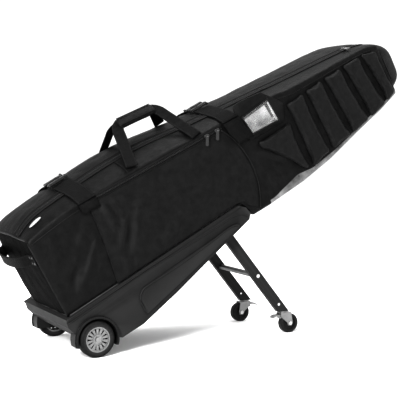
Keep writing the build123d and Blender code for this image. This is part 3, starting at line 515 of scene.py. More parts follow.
def joined(name, parts):
    """One object from several, with their modifiers applied and their materials kept."""
    graph = bpy.context.evaluated_depsgraph_get()
    shape = bmesh.new()
    finishes = []
    whole = parts + [child for part in parts for child in part.children]
    for part in whole:
        mesh = bpy.data.meshes.new_from_object(part.evaluated_get(graph))
        lookup = []
        for finish in mesh.materials:
            if finish not in finishes:
                finishes.append(finish)
            lookup.append(finishes.index(finish))
        for face in mesh.polygons:
            face.material_index = lookup[face.material_index]
        shape.from_mesh(mesh)
        bpy.data.meshes.remove(mesh)
    for part in whole[::-1]:
        bpy.data.objects.remove(part)
    mesh = bpy.data.meshes.new(name)
    shape.to_mesh(mesh)
    shape.free()
    for finish in finishes:
        mesh.materials.append(finish)
    mesh.shade_smooth()
    return placed(name, mesh)


def swollen(made, voxel, cap, pressure=4.0, frames=20, keep_behind=None):
    """Fills a padded piece: remeshed, blown up a little as cloth, and each point's move capped."""
    scene = bpy.context.scene
    step = made.modifiers.new("remesh", "REMESH")
    step.mode = "VOXEL"
    step.voxel_size = voxel / 1000
    graph = bpy.context.evaluated_depsgraph_get()
    mesh = bpy.data.meshes.new_from_object(made.evaluated_get(graph))
    made.modifiers.clear()
    finishes = list(made.data.materials)
    made.data = mesh
    start = [vertex.co.copy() for vertex in mesh.vertices]
    cloth = made.modifiers.new("cloth", "CLOTH")
    cloth.settings.use_pressure = True
    cloth.settings.uniform_pressure_force = pressure
    cloth.settings.effector_weights.gravity = 0.0
    cloth.settings.quality = 4
    cloth.point_cache.frame_start = 1
    cloth.point_cache.frame_end = frames
    for number in range(1, frames + 1):
        scene.frame_set(number)
    graph = bpy.context.evaluated_depsgraph_get()
    result = made.evaluated_get(graph).to_mesh()
    ends = [vertex.co.copy() for vertex in result.vertices]
    made.evaluated_get(graph).to_mesh_clear()
    made.modifiers.clear()
    scene.frame_set(1)
    for vertex, a, b in zip(mesh.vertices, start, ends):
        move = b - a
        if move.length > cap / 1000:
            move *= cap / 1000 / move.length
        vertex.co = a + move
    if keep_behind is not None:
        for vertex in mesh.vertices:
            vertex.co.y = min(vertex.co.y, keep_behind / 1000)
    mesh.materials.clear()
    for finish in finishes:
        mesh.materials.append(finish)
    mesh.shade_smooth()
    return subdivided(made)


# ---- the bag
def arc(centre, radius, first, last, count):
    """Inner points of an arc in the section plane, from one angle to another, in degrees."""
    return [(centre[0] + radius * cos(radians(first + (last - first) * k / count)),
             centre[1] + radius * sin(radians(first + (last - first) * k / count))) for k in range(1, count)]


GREY_EDGE = [(676, 90), (731, 102), (809, 118), (866, 108), (950, 115), (1036, 128), (1119, 143), (1199, 158),
             (1250, 170)]


def bag_section(u):
    """Open section of the bag at one station: near zip edge, near side, underside, far side, hinge seam."""
    bottom = straight(BOTTOM, u)
    hinge = straight(HINGE, u)
    shoulder, corner = 11.0, 12.0
    edge = max(0.0, -8.0 - u) * 0.35
    half = HALF - edge
    rows = [(v, top_w(u, v) - edge + cloth_noise(u, v, 0, 1.6)) for v in
            [-ZIP_V - k / 11 * (half - shoulder - ZIP_V) for k in range(12)]]
    top = rows[-1][1] - 1.0
    rows += arc((-half + shoulder, top - shoulder), shoulder, 90, 180, 4)
    low = bottom + corner
    strip = max(low + 1.5, straight(GREY_EDGE, u)) if u > GREY_EDGE[0][0] else low + 12.0
    for k in range(37):
        w = straight([(0, top - shoulder), (33, strip), (36, low)], k)
        calm = sin(pi * k / 36)
        fold = fold_height(SIDE_FOLDS, u, w) if u < 860 else 0.0
        rows.append((-half - calm * (1.5 + fold + cloth_noise(u, -HALF, w, 2.2)), w))
    rows += arc((-half + corner, low), corner, 180, 270, 4)
    across = half - corner
    rows += [(across * (k / 11 - 1), bottom + 0.6 * cloth_noise(u, 40.0 * k, bottom, 1.0)) for k in range(23)]
    rows += arc((half - corner, low), corner, -90, 0, 4)
    for k in range(29):
        w = low + (hinge + 2 - low) * k / 28
        calm = sin(pi * k / 28)
        rows.append((half + calm * (1.5 + cloth_noise(u, HALF, w, 3.0)), w))
    return rows


places = [-14, -12, -9, -4] + [2 + 8 * k for k in range(73)]
places += [592 + 4 * k for k in range(10)] + [636 + 9 * k for k in range(69)]
places = [u for u in places if u <= 1250]
bag_rows = [[case(drawn_in(u, v), v, w) for v, w in bag_section(u)] for u in places]
# the pale sheet starts 33 rows down the near side, past the zip's 12 and the shoulder's 3
strip_from = 12 + 3 + 33
strip_to = 12 + 3 + 37 + 28
bag_slots = [1 if u > 688 and strip_from <= j < strip_to else 0
             for u in places[:-1] for j in range(len(bag_rows[0]) - 1)]
bag = surface("bag_shell", bag_rows, [polyester, grey_sheet, lining, lining], thickness=3.5, inside=2,
              face_slots=bag_slots, flip=True)
belongs(bag, "case", "polyester", "side_panel_near", "side_panel_far", "underside_panel", "top_gusset")


def lid_point(u, v):
    sag = cloth_noise(u, v, 90, 3.2) + 1.6 * bumpiness(u * 0.5, v, 5, 26.0)
    calm = min(1.0, (HALF - abs(v)) / 30.0, (v + 84.0) / 18.0 + 0.15)
    ends = min(1.0, (u + 14) / 40, (1250 - u) / 40)
    edge = max(0.0, -6.0 - u) * 0.5
    return case(drawn_in(u, v), v, top_w(u, v) + sag * max(calm, 0.0) * max(ends, 0.1) - edge)


lid_places = [-14.0, -11.0, -6.0] + [8.0 * k for k in range(157)]
lid_across = [-83.5, -78.0] + [-70.0 + 8.0 * k for k in range(29)] + [160.0, 166.0, 170.0]
lid = surface("lid_cover", [[lid_point(u, v) for v in lid_across] for u in lid_places + [1250.0]],
              [polyester, lining], thickness=4.0, inside=1)
belongs(lid, "lid", "polyester", "lid_panel")


def end_top(v):
    return top_w(-13.0, v) - 3.0


def wheel_end_point(v, t):
    half = HALF - 5.0
    w = 142.5 + (end_top(v) - 142.5) * t
    side = 1 - abs(v / half) ** 6
    rise = 1 - abs(2 * t - 1) ** 5
    bulge = side * (rise * (5.0 + 2.0 * bumpiness(0, v, w, 60.0)) + 1.2 * bumpiness(3, v, w, 22.0))
    return case(drawn_in(-13.0, v) - bulge, v, w)


end_rows = [[wheel_end_point(-165.0 + 330.0 * k / 40, t / 30) for k in range(41)] for t in range(31)]
# the wheel end is covered in the darkened copy of the cloth: painted shade
wheel_end = surface("wheel_end_cover", end_rows, [end_cloth_painted_shade, lining], thickness=3.0, inside=1)
belongs(wheel_end, "case", "polyester", "wheel_end_panel")

NOSE = [(1249, 170, 158.5, 331), (1262, 167, 161, 328.5), (1280, 156, 166, 321),
        (1300, 141, 172.5, 309), (1318, 117, 183, 294), (1330, 90, 195, 278),
        (1337, 60, 209, 262), (1340.5, 28, 222, 248)]


def nose_ring(row, count=72):
    u, half, low, high = row
    ring = []
    for k in range(count):
        turn = 2 * pi * k / count
        shape = (abs(cos(turn)) ** 4.2 + abs(sin(turn)) ** 4.2) ** (-1 / 4.2)
        v = half * shape * cos(turn)
        middle = (low + high) / 2
        w = middle + (high - low) / 2 * shape * sin(turn)
        soft = cloth_noise(u, v, w, 2.0) if u > 1255 else 0.0
        ring.append(case(u + soft, v * (1 + soft / 200), middle + (w - middle) * (1 + soft / 120)))
    return ring


nose_rows = [nose_ring(row) for row in NOSE]
nose_points = [point for ring in nose_rows for point in ring] + [case(1341.5, 0, 235)]
tip, last = len(nose_points) - 1, len(nose_points) - 73
nose_faces = grid_faces(len(nose_rows), 72, wrap=True)
nose_faces += [(last + k, tip, last + (k + 1) % 72) for k in range(72)]
nose = piece_from("nose_cover", nose_points, nose_faces, [polyester, lining])
fix_normals(nose)
thickened(nose, 3.0, 1)
subdivided(nose)
belongs(nose, "case", "polyester", "nose_panel")

# ---- padded bars on the club-head end
RIB_EDGES = [(864, 328, 862, 104), (940, 331, 948, 118), (1016, 334, 1038, 126), (1094, 334, 1120, 136),
             (1170, 334, 1198, 150), (1236, 320, 1247, 166)]
RIB_GAP = 4.0
rib_outlines = [[(728, 272), (857, 275), (856, 114), (838, 122), (733, 248)]]
for low, high in zip(RIB_EDGES, RIB_EDGES[1:]):
    rib_outlines.append([(low[0] + RIB_GAP, low[1] - 2), (high[0] - RIB_GAP, high[1] - 2),
                         (high[2] - RIB_GAP, high[3] + 3), (low[2] + RIB_GAP, low[3] + 3)])


def slab_points(outline, v_out, v_in):
    """Closed slab over one four-cornered outline, with its corners cut round."""
    loop = []
    for k, here in enumerate(outline):
        before, after = outline[k - 1], outline[(k + 1) % len(outline)]
        corner = Vector(here)
        a, b = (corner.lerp(end, 9.0 / (end - corner).length) for end in (Vector(before), Vector(after)))
        for t in (0.0, 0.25, 0.5, 0.75, 1.0):
            loop.append([(1 - t) ** 2 * a[n] + 2 * t * (1 - t) * here[n] + t ** 2 * b[n] for n in (0, 1)])
    count = len(loop)
    centre = [sum(p[n] for p in loop) / count for n in (0, 1)]
    points = []
    crown = ((0.0, 1.0, 1.0), (0.3, 1.0, 1.0), (0.62, 0.95, 0.985), (0.85, 0.8, 0.95), (1.0, 0.5, 0.86))
    for level, narrow, short in crown:
        for u, w in loop:
            points.append(case(centre[0] + (u - centre[0]) * narrow, v_in + (v_out - v_in) * level,
                               centre[1] + (w - centre[1]) * short))
    return points, capped_faces(5, count)


rib_points, rib_faces = [], []
for outline in rib_outlines:
    points, faces = slab_points(outline, -181.5, -170.5)
    rib_faces += [tuple(index + len(rib_points) for index in face) for face in faces]
    rib_points += points
# the padded bars take the lightened copy of the cloth: painted light on their crowns
ribs = piece_from("rib_pads_near", rib_points, rib_faces, [rib_cloth_painted_light])
fix_normals(ribs)
swollen(ribs, 4.5, 5.0, keep_behind=-170.7)
far_mesh = ribs.data.copy()
for vertex in far_mesh.vertices:
    u, v, w = back_to_case(vertex.co)
    if w > 240:
        w = 240 + (w - 240) * (straight(HINGE, u) - 9 - 240) / (334 - 240)
    vertex.co = case(u, -v, w)
far_mesh.flip_normals()
far_ribs = placed("rib_pads_far", far_mesh)
subdivided(far_ribs)
belongs(ribs, "case", "polyester", "rib_pads")
belongs(far_ribs, "case", "polyester", "rib_pads")

# ---- side pocket
POCKET_TOP = [(184, 386), (400, 374.5), (640, 362)]
POCKET_BOTTOM = [(153, 145), (400, 145.5), (592, 145.5), (612, 128), (648, 98)]
POCKET_LEFT = [(153, 145), (172, 262), (184, 386)]
POCKET_RIGHT = [(648, 98), (673, 151), (683, 212), (678, 272), (662, 326), (640, 362)]


def on_line(points, share):
    """Point at a share of the way along a polyline."""
    runs = [hypot(b[0] - a[0], b[1] - a[1]) for a, b in zip(points, points[1:])]
    left = share * sum(runs)
    for (a, b), run in zip(zip(points, points[1:]), runs):
        if left <= run or (a, b) == (points[-2], points[-1]):
            t = min(left / run, 1.0)
            return a[0] + (b[0] - a[0]) * t, a[1] + (b[1] - a[1]) * t
        left -= run


def softened(points):
    return [(p.x, p.z) for p in run_through([(u, 0, w) for u, w in points], 12.0)]


POCKET_SIDES = [softened(line) for line in (POCKET_TOP, POCKET_BOTTOM, POCKET_LEFT, POCKET_RIGHT)]


def pocket_place(s, t):
    top, bottom, left, right = POCKET_SIDES
    over, under, near, far = on_line(top, s), on_line(bottom, s), on_line(left, t), on_line(right, t)
    corners = (bottom[0], bottom[-1], top[0], top[-1])
    return [(1 - t) * under[n] + t * over[n] + (1 - s) * near[n] + s * far[n]
            - ((1 - s) * (1 - t) * corners[0][n] + s * (1 - t) * corners[1][n]
               + (1 - s) * t * corners[2][n] + s * t * corners[3][n]) for n in (0, 1)]


def pocket_point(s, t):
    u, w = pocket_place(s, t)
    rim = (1 - abs(2 * s - 1) ** 10) * (1 - abs(2 * t - 1) ** 8)
    swell = 3.4 * rim + rim * (fold_height(POCKET_FOLDS, u, w) + cloth_noise(u, -180, w, 3.0))
    return case(u, -172.6 - max(swell, -1.5), w)


pocket_rows = [[pocket_point(s / 72, t / 34) for s in range(73)] for t in range(35)]
pocket = surface("side_pocket_cover", pocket_rows, [ballistic, lining], thickness=1.6, inside=1, flip=True)
belongs(pocket, "case", "polyester", "side_pocket")


def along(line, v, count=40):
    spots = [on_line(line, k / count) for k in range(count + 1)]
    return [(u, v, w) for u, w in spots]


def sewn_cord(name, line, radius, body="case", finish=piping):
    return belongs(tube(name, line, radius, finish), body, "polyester")


sewn_cord("pocket_piping_right", along(POCKET_SIDES[3], -173.6), 2.4)
sewn_cord("pocket_piping_left", along(POCKET_SIDES[2], -173.2), 1.4)
seam_line = [(u, -170.4, smooth(STATIONS, u, 1) - 9.5) for u in range(-12, 1246, 30)]
sewn_cord("shoulder_piping_start", [p for p in seam_line if p[0] <= 190], 1.8)
sewn_cord("shoulder_piping_end", [p for p in seam_line if p[0] >= 712], 1.6)
edge_line = [(-13.5, -164.5, w) for w in range(144, 372, 12)]
edge_line += [(-13.5, v, top_w(-13.0, v) - 4.0)
              for v in (-160, -150, -130, -110, -90, -60, -30, 0, 40, 80, 120, 160)]
edge_line += [(-13.5, 164.5, w) for w in range(370, 143, -12)]
sewn_cord("wheel_end_piping", [(drawn_in(u, v), v, w) for u, v, w in edge_line], 3.0)
nose_line = [(1249.5, 0.0, 332.0)]
nose_line += [tuple(back_to_case(point)) for point in nose_ring((1249.5, 170.5, 158.0, 331.5))[18:]]
sewn_cord("nose_piping", nose_line, 2.2)

# ---- pocket zip
POCKET_ZIP = [(190, 392.5), (646, 368.5)]


def zip_strip(name, u_low, u_high, place, half, thickness):
    """Flat tape following place(u, across), from one edge to the other."""
    rows = [[case(*place(u_low + (u_high - u_low) * k / 90, side * half)) for side in (-1, -0.5, 0, 0.5, 1)]
            for k in range(91)]
    return surface(name, rows, [zip_tape, zip_tape], thickness=thickness, levels=0)


def teeth_along(name, line, across_dir, size, pitch):
    """Row of alternate coil teeth along a run of case points."""
    points, faces = [], []
    spots = run_through(line, pitch)
    for k, here in enumerate(spots[1:-1]):
        ahead = (spots[k + 2] - spots[k]).normalized()
        across = Vector(across_dir).normalized()
        up = ahead.cross(across).normalized()
        offset = across * size[1] * (0.28 if k % 2 else -0.28)
        base = len(points)
        for a, b, c in ((-1, -1, -1), (1, -1, -1), (1, 1, -1), (-1, 1, -1), (-0.6, -0.8, 1), (0.6, -0.8, 1),
                        (0.6, 0.8, 1), (-0.6, 0.8, 1)):
            points.append(case(*(here + offset + ahead * (a * size[0] / 2) + across * (b * size[1] / 2)
                                 + up * (c * size[2] / 2))))
        faces += [tuple(base + i for i in face) for face in
                  ((0, 3, 2, 1), (4, 5, 6, 7), (0, 1, 5, 4), (1, 2, 6, 5), (2, 3, 7, 6), (3, 0, 4, 7))]
    made = piece_from(name, points, faces, [zip_coil])
    fix_normals(made)
    return made


def along_zip(v, rise, first=186, last=650, step=20):
    return [(u, v, straight(POCKET_ZIP, u) + rise) for u in range(first, last, step)]


def on_pocket(u, across):
    return u, -172.6, straight(POCKET_ZIP, u) + across - 2.5


pocket_tape = zip_strip("pocket_zip_tape", 186, 648, on_pocket, 9.5, 1.2)
fix_normals(pocket_tape)
belongs(pocket_tape, "case", "zip_tape", "pocket_zipper")
coil = teeth_along("pocket_zip_coil", along_zip(-174.2, -2.0, 190, 647, 12), (0, 0, 1), (1.7, 4.2, 1.8), 2.6)
belongs(coil, "case", "zip_tape")
sewn_cord("pocket_zip_guard", along_zip(-174.0, -8.5), 1.5)
sewn_cord("pocket_zip_fold", along_zip(-171.3, 5.5), 1.2, finish=polyester)

# ---- main zip
def tape_point(side, rise):
    """Tape lying on the top, on the case side or the lid side of the zip."""
    def place(u, across):
        v = -ZIP_V + side * (9.6 + across)
        return u, v, top_w(u, v) + rise
    return place


for name, side, body, node in (("main_zip_tape_case", -1, "case", "main_zipper_case"),
                               ("main_zip_tape_lid", 1, "lid", "main_zipper_lid")):
    tape = zip_strip(name, -12, 1246, tape_point(side, 1.5), 7.2 if side > 0 else 8.0, 1.1)
    belongs(tape, body, "zip_tape", node)
    row = teeth_along(name.replace("tape", "teeth"),
                      [(u, -ZIP_V + side * 2.1, top_w(u, -ZIP_V) + 2.0) for u in range(-12, 1247, 14)],
                      (0, 1, 0), (2.0, 3.0, 2.0), 3.4)
    belongs(row, body, "zip_tape")
    v = -ZIP_V + side * 17.0
    guard_line = [(u, v, top_w(u, v) + 1.4) for u in range(-12, 1247, 20)]
    sewn_cord(name.replace("tape", "guard"), guard_line, 1.7, body)

# ---- far seam the lid turns on
hinge_line = [(drawn_in(u, 169), 168.5, straight(HINGE, u) + 2.5) for u in range(-12, 1247, 20)]
sewn_cord("far_seam", hinge_line, 5.0, finish=polyester)

# ---- compression straps
STRAPS = {"low": (156.0, 212.0), "high": (652.0, 708.0)}
# height of the fold where the near half of a strap turns over the shoulder
STRAP_FOLDS = {"low": 393.0 + 7.5, "high": 371.4 + 7.5}
BUCKLE_V = 2.0


def strap_run(name, places, rise=4.2):
    u_low, u_high = STRAPS[name]
    return [((u_low + u_high) / 2, v, (top_w(u_low, v) + top_w(u_high, v)) / 2 + rise) for v in places]


def strap_edge(name):
    u_low, u_high = STRAPS[name]

    def edge(here, share):
        slope = (top_w(u_high, here.y) - top_w(u_low, here.y)) / 2
        return Vector(((u_high - u_low) / 2, 0.0, slope))
    return edge


near_parts, far_parts = [], []
for name in STRAPS:
    fold, middle = STRAP_FOLDS[name], sum(STRAPS[name]) / 2
    run = [(middle, -177.0, fold - 4.0), (middle, -173.5, fold + 1.5)]
    run += strap_run(name, (-160, -140, -120, -100, -85, -70, -50, -32))
    near_parts.append(strap(f"strap_{name}_near", run, strap_edge(name), 2.2))
    run = strap_run(name, (34, 50, 75, 100, 125, 150, 162))
    far_parts.append(strap(f"strap_{name}_far", run, strap_edge(name), 2.2))
belongs(joined("strap_webbing_near", near_parts), "near_straps", "webbing", "straps_near")
belongs(joined("strap_webbing_far", far_parts), "lid", "webbing", "straps_far")


def buckle(name, side):
    """Half of a side-release buckle: plate, slotted bar, ribs, and the prongs of the far half."""
    u_low, u_high = STRAPS[name]
    middle = (u_low + u_high) / 2
    level = max(top_w(u_low, 0), top_w(u_high, 0)) + 7.0
    slope = (top_w(u_high, 0) - top_w(u_low, 0)) / (u_high - u_low)
    width = u_high - u_low + 4.0
    near = BUCKLE_V + side * 14.2
    parts = []

    def block(u, v, w, size, bevel):
        place = (middle + u, v, level + w + slope * u)
        parts.append(rounded_block("part", place, size, buckle_plastic, bevel))

    block(0, near, 0, (width, 14.0, 7.0), 2.4)
    block(0, near + side * 11.5, -0.8, (width, 4.0, 4.6), 1.6)
    block(0, near + side * 6.0, -1.2, (width - 8.0, 2.6, 3.4), 1.1)
    for step in (-2, -1, 0, 1, 2):
        block(step * 4.2, near - side * 1.5, 3.6, (1.7, 7.5, 1.3), 0.5)
    prong = (9.0, 3.2, -0.2, (7.0, 9.5, 3.8), 1.3) if side > 0 else (1.0, -10.0, 0.2, (3.4, 9.0, 4.4), 1.4)
    for end in (-1, 1):
        block(end * (width / 2 - 2.6), near + side * 8.5, -0.4, (5.2, 9.0, 5.4), 1.6)
        block(end * (width / 2 - prong[0]), BUCKLE_V + prong[1], *prong[2:])
    return parts


for side, body, node in ((-1, "near_straps", "buckles_near"), (1, "lid", "buckles_far")):
    parts = [part for name in STRAPS for part in buckle(name, side)]
    belongs(joined(node.replace("buckles", "buckle_halves"), parts), body, "buckle_plastic", node)

# ---- tails and sewn ends on the near side
def upright_edge(width, lean=0.0):
    return lambda here, share: Vector((width / 2, 0.0, lean))


low_fold, high_fold = STRAP_FOLDS["low"], STRAP_FOLDS["high"]
high_line = [(680, -178.2, high_fold - 6), (682, -181.5, high_fold - 22), (686, -182.0, high_fold - 45),
             (692, -181.8, 322), (698, -181.0, 299)]
low_line = [(184, -177.0, low_fold - 6), (184, -178.0, low_fold - 18), (185, -177.6, low_fold - 35)]
tails = [strap("tail_high", high_line, upright_edge(57, -1.5), 2.2),
         strap("tail_low", low_line, upright_edge(56, -1.2), 2.2)]
BOX_STITCH = ((-14, -160), (14, -160), (14, -116), (-14, -116), (-14, -160), (14, -116), (14, -160), (-14, -116))
for foot in (346.0, 566.0):
    line = [(foot, v, (top_w(foot - 18, v) + top_w(foot + 18, v)) / 2 + 2.2)
            for v in (-165, -150, -130, -108)]
    patch = strap(f"foot_{foot:.0f}", line, lambda here, share, foot=foot: Vector(
        (18.0, 0.0, (top_w(foot + 18, here.y) - top_w(foot - 18, here.y)) / 2)), 2.0, step=5.0)
    tails.append(patch)
    points, faces = [], []
    corners = [Vector((foot + a, v, top_w(foot + a, v) + 3.6)) for a, v in BOX_STITCH]
    facing = Vector((0, -0.45, 0.9))
    for a, b in zip(corners, corners[1:]):
        stitch_row(points, faces, [a, a.lerp(b, 0.5), b], facing, length=3.0, gap=1.4)
    tails.append(piece_from("box_stitch", points, faces, [thread]))
belongs(joined("sewn_webbing_ends", tails), "case", "webbing", "sewn_webbing")

# ---- carry handle
DROOP = radians(5.7)


def drooped(point):
    u, v, w = point
    return Vector((456 + (u - 456) * cos(DROOP) + (w - 397) * sin(DROOP), v,
                   397 - (u - 456) * sin(DROOP) + (w - 397) * cos(DROOP)))


def loop_line(foot, head, feet, grip):
    """Path of a webbing loop from one foot up, along the grip and down to the other foot."""
    def on_slope(u, share):
        return u, foot[0] + (head[0] - foot[0]) * share, foot[1] + (head[1] - foot[1]) * share

    legs = []
    for low, high in zip(feet, grip):
        inward = 1 if low == feet[0] else -1
        leg = [on_slope(low + (high - low) * share, share) for share in (0.0, 0.22, 0.45, 0.68, 0.88)]
        legs.append(leg + [on_slope(high + inward * 8, 0.98)])
    return legs[0] + [on_slope(grip[0] + 24, 1.0), on_slope(grip[1] - 24, 1.0)] + legs[1][::-1]


def loop_strap(name, foot, head, feet, grip):
    line = [drooped(point) for point in loop_line(foot, head, feet, grip)]
    rise = Vector((0, head[0] - foot[0], head[1] - foot[1])).normalized()
    curve = run_through(line, 8.0)

    def edge(here, share):
        k = min(max(round(share * (len(curve) - 1)), 1), len(curve) - 2)
        ahead = (curve[k + 1] - curve[k - 1]).normalized()
        return (ahead.cross(Vector((0, -rise.z, rise.y)))).normalized() * 17.0
    return strap(name, line, edge, 2.2)


near_loop = loop_strap("handle_webbing_near", (-171.5, 399.0), (-48.0, 502.0), (346.0, 566.0),
                       (396.0, 526.0))
belongs(near_loop, "near_handle", "webbing", "handle_strap_near")
far_loop = loop_strap("handle_webbing_far", (104.0, 420.0), (-4.0, 494.0), (388.0, 590.0), (402.0, 540.0))
belongs(far_loop, "lid", "webbing", "handle_strap_far")


GRIP_UP = Vector((0, 123.5, 103.0)).normalized()
GRIP_OUT = Vector((0, -GRIP_UP.z, GRIP_UP.y))


def grip_piece():
    """Padded wrap round the top of the near loop."""
    rings, sides = [], 20
    for k in range(27):
        t = k / 26
        u = 399.0 + 124.0 * t
        close = (1 - abs(2 * t - 1) ** 12) ** 0.5 * 0.25 + 0.75
        for s in range(sides):
            turn = 2 * pi * s / sides
            shape = (abs(cos(turn)) ** 3 + abs(sin(turn)) ** 3) ** (-1 / 3)
            spot = Vector((u, -48.0, 502.0)) - GRIP_UP * 4.0 + GRIP_OUT * 1.5
            spot += GRIP_UP * (18.5 * close * shape * cos(turn)) + GRIP_OUT * (9.5 * close * shape * sin(turn))
            rings.append(case(*drooped(spot)))
    made = piece_from("handle_grip_wrap", rings, capped_faces(27, sides), [ballistic])
    fix_normals(made)
    return swollen(made, 4.0, 3.0, pressure=3.0)


grip = grip_piece()
belongs(grip, "near_handle", "webbing", "handle_grip")
grip_edges = []
for offset in (-17.5, 10.5):
    line = [drooped(Vector((u, -48.0, 502.0)) + GRIP_UP * (offset - 2.0) + GRIP_OUT * 12.6)
            for u in range(402, 522, 8)]
    grip_edges.append(tube("grip_edge", line, 1.3, piping, step=6.0))
belongs(joined("handle_grip_edges", grip_edges), "near_handle", "webbing")

# ---- end handles
END_W = 323.0
HALF_LOOP = [(-49, 0), (-46, 50), (-36, 92), (-20, 112), (-16.5, 128), (-15.5, 152)]
end_line = [(drawn_in(-14.0, v) + 14.0 + u, v, END_W)
            for u, v in [(u, -v) for u, v in HALF_LOOP[:0:-1]] + HALF_LOOP]
belongs(strap("wheel_end_grab", end_line, lambda here, share: Vector((0, 0, 16.5)), 3.4), "case", "webbing",
        "wheel_end_handle")
loop_points = [(1322, 0, 296), (1337, 0, 283), (1350, 0, 269), (1370, 0, 252), (1378, 0, 226), (1366, 0, 205),
               (1339, 0, 210)]
top_loop = strap("top_end_grab", loop_points, lambda here, share: Vector((0, -16.5, 0)), 2.6, step=5.0)
belongs(top_loop, "case", "webbing", "top_end_handle")

# ---- label pocket
ID_OUTER = [(705, 370), (711, 300), (720, 289), (832, 283), (843, 288), (861, 329), (852, 346), (812, 392),
            (800, 398), (712, 404)]
ID_WINDOW = [(717, 362), (725, 301), (826, 295), (818, 370)]
ID_CARD = [(722, 352), (729, 305), (808, 300), (801, 358)]
# pale strip at the window's right side: painted highlight, standing in for the reflection on the clear window
ID_PAINTED_HIGHLIGHT = [(812, 360), (815, 297), (824, 295), (820, 361)]


def grown(outline, by):
    centre = [sum(p[n] for p in outline) / len(outline) for n in (0, 1)]
    result = []
    for u, w in outline:
        run = hypot(u - centre[0], w - centre[1])
        result.append((u + (u - centre[0]) / run * by, w + (w - centre[1]) / run * by))
    return result


def flat_patch(name, outline, v_out, v_in, finish, bevel):
    """Thin sewn or moulded plate over an outline on the near side, with a rolled rim."""
    rings = [(outline, v_in), (outline, v_out + bevel), (grown(outline, -bevel), v_out)]
    points = [case(u, v, w) for ring, v in rings for u, w in ring]
    made = piece_from(name, points, capped_faces(3, len(outline)), [finish])
    fix_normals(made)
    return made


id_rim = run_through([(u, 0, w) for u, w in ID_OUTER + ID_OUTER[:1]], 9.0)[:-1]
id_parts = [flat_patch("id_back", [(p.x, p.z) for p in id_rim], -175.0, -170.6, polyester, 1.5)]
for a, b in zip(ID_WINDOW, ID_WINDOW[1:] + ID_WINDOW[:1]):
    id_parts.append(tube("id_frame", [(a[0], -176.6, a[1]), ((a[0] + b[0]) / 2, -177.0, (a[1] + b[1]) / 2),
                                      (b[0], -176.6, b[1])], 2.4, piping, step=6.0))
belongs(joined("id_pocket_frame", id_parts), "case", "polyester", "id_pocket")
belongs(flat_patch("id_card", ID_CARD, -175.9, -175.0, card, 0.3), "case", "window_film")
film = flat_patch("id_window_film", grown(ID_WINDOW, -2.0), -177.4, -176.9, window_film, 0.2)
belongs(film, "case", "window_film", "id_window")
# pale card strip under the window film: painted highlight, not a part of the card
belongs(flat_patch("id_card_edge", ID_PAINTED_HIGHLIGHT, -176.6, -175.2, card, 0.5), "case", "window_film")
label_rows = [[case(u, v, top_w(u, v) + 3.4) for u in range(726, 775, 12)] for v in range(-150, -137, 4)]
belongs(surface("blank_label", label_rows, [badge, badge], thickness=0.8), "case", "polyester")

badge_rows = []
for t in range(9):
    ring = []
    for s in range(33):
        turn = 2 * pi * s / 32
        reach = t / 8
        u = 40 + 21 * reach * cos(turn)
        v = -132 + 8 * reach * sin(turn)
        ring.append(case(u, v, top_w(u, v) + 3.0 + 0.8 * (1 - reach ** 4)))
    badge_rows.append(ring)
belongs(surface("blank_badge", badge_rows, [badge, badge], thickness=1.0, flip=True), "case", "polyester")

# ---- inside
straps_inside = []
for middle in (170, 440):
    line = [(middle, v, 148.5 + 1.2 * cos(v / 30)) for v in range(-158, 159, 20)]
    straps_inside.append(strap("tie_strap", line, lambda here, share: Vector((19.0, 0.0, 0.0)), 1.6))
    straps_inside.append(rounded_block("tie_buckle", (middle, 0, 152.5), (46, 40, 7), buckle_plastic, 2.2))
belongs(joined("tie_down_straps", straps_inside), "case", "webbing", "inner_straps")
foam_rows = [[case(u, v, straight(BOTTOM, u) + 8.5 + 1.4 * abs(sin(u / 26)) + 0.8 * abs(sin(v / 26)))
              for v in range(-160, 161, 10)] for u in range(828, 1176, 8)]
foam = surface("head_foam", foam_rows, [lining, lining], thickness=2.5)
belongs(foam, "case", "lining_foam", "head_padding")

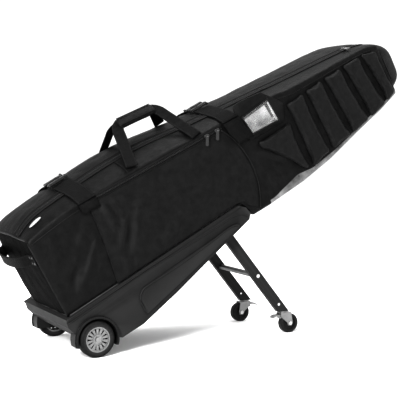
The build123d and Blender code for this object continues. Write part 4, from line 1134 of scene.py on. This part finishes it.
# ---- moulded detail on the base
PANEL_LINE = [(188, 24), (186, 60), (192, 76), (210, 90), (240, 92), (330, 90), (430, 93), (516, 98),
              (548, 96), (562, 88)]
RIM_LINE = [(-27, 139), (100, 139.5), (300, 139.5), (500, 139.5), (588, 139)]
GROOVE_LINE = [(-26, 127), (82, 127), (215, 130), (327, 127), (448, 122), (525, 121), (568, 119), (593, 104),
               (602, 92)]
BEADS = ((RIM_LINE, 176.4, 2.4), (PANEL_LINE, 174.2, 2.6), (GROOVE_LINE, 172.0, 2.0))
for side, sign in (("near", -1), ("far", 1)):
    parts = [tube("bead", [(u, sign * v, w) for u, w in line], radius, base_plastic) for line, v, radius in BEADS]
    belongs(joined(f"base_beads_{side}", parts), "case", "base_plastic")
    ring = [(24.3 + 64.5 * cos(radians(a)), sign * 178.5, 44.8 + 64.5 * sin(radians(a)))
            for a in range(-44, 169, 4)]
    belongs(tube(f"arch_lip_{side}", ring, 2.2, flare_plastic, step=5.0), "case", "flare_plastic")

# ---- stage, light and camera
stage_finish = material("floor_paint", (0.93, 0.94), (0.75, 0.85), 1.0, [])
bpy.ops.mesh.primitive_plane_add(size=40)
floor = bpy.context.object
floor.name = "floor"
floor.data.materials.append(stage_finish)

world = bpy.data.worlds.new("studio")
world.use_nodes = True
world.node_tree.nodes["Background"].inputs["Color"].default_value = (1, 1, 1, 1)
world.node_tree.nodes["Background"].inputs["Strength"].default_value = 1.12
bpy.context.scene.world = world
bpy.context.scene.view_settings.view_transform = "Standard"
bpy.context.scene.view_settings.gamma = 0.71


def lamp(name, place, target, size, power):
    data = bpy.data.lights.new(name, "AREA")
    data.shape = "RECTANGLE"
    data.size, data.size_y = size
    data.energy = power
    made = placed(name, data)
    made.location = place
    made.rotation_euler = (Vector(target) - Vector(place)).to_track_quat("-Z", "Y").to_euler()


lamp("key", (-1.6, -2.2, 2.8), (0, 0, 0.4), (1.3, 1.3), 90)
lamp("fold", (-2.5, -2.1, 1.5), (-0.1, -0.2, 0.4), (0.6, 0.8), 200)
lamp("top", (0.4, 0.4, 3.2), (0, 0, 0.4), (1.6, 1.2), 80)
lamp("side", (3.0, -1.2, 1.6), (0.2, 0, 0.5), (1.0, 1.6), 40)

view = bpy.data.cameras.new("view")
view.lens = 99.95
view.sensor_width = 36.0
view.clip_end = 100.0
eye = placed("view", view)
eye.location = (AXLE_X - 1.1527, -2.9863, 0.6753)
YAW, PITCH = radians(27.66), radians(4.51)
heading = Vector((sin(YAW) * cos(PITCH), cos(YAW) * cos(PITCH), -sin(PITCH)))
eye.rotation_euler = heading.to_track_quat("-Z", "Y").to_euler()
bpy.context.scene.camera = eye
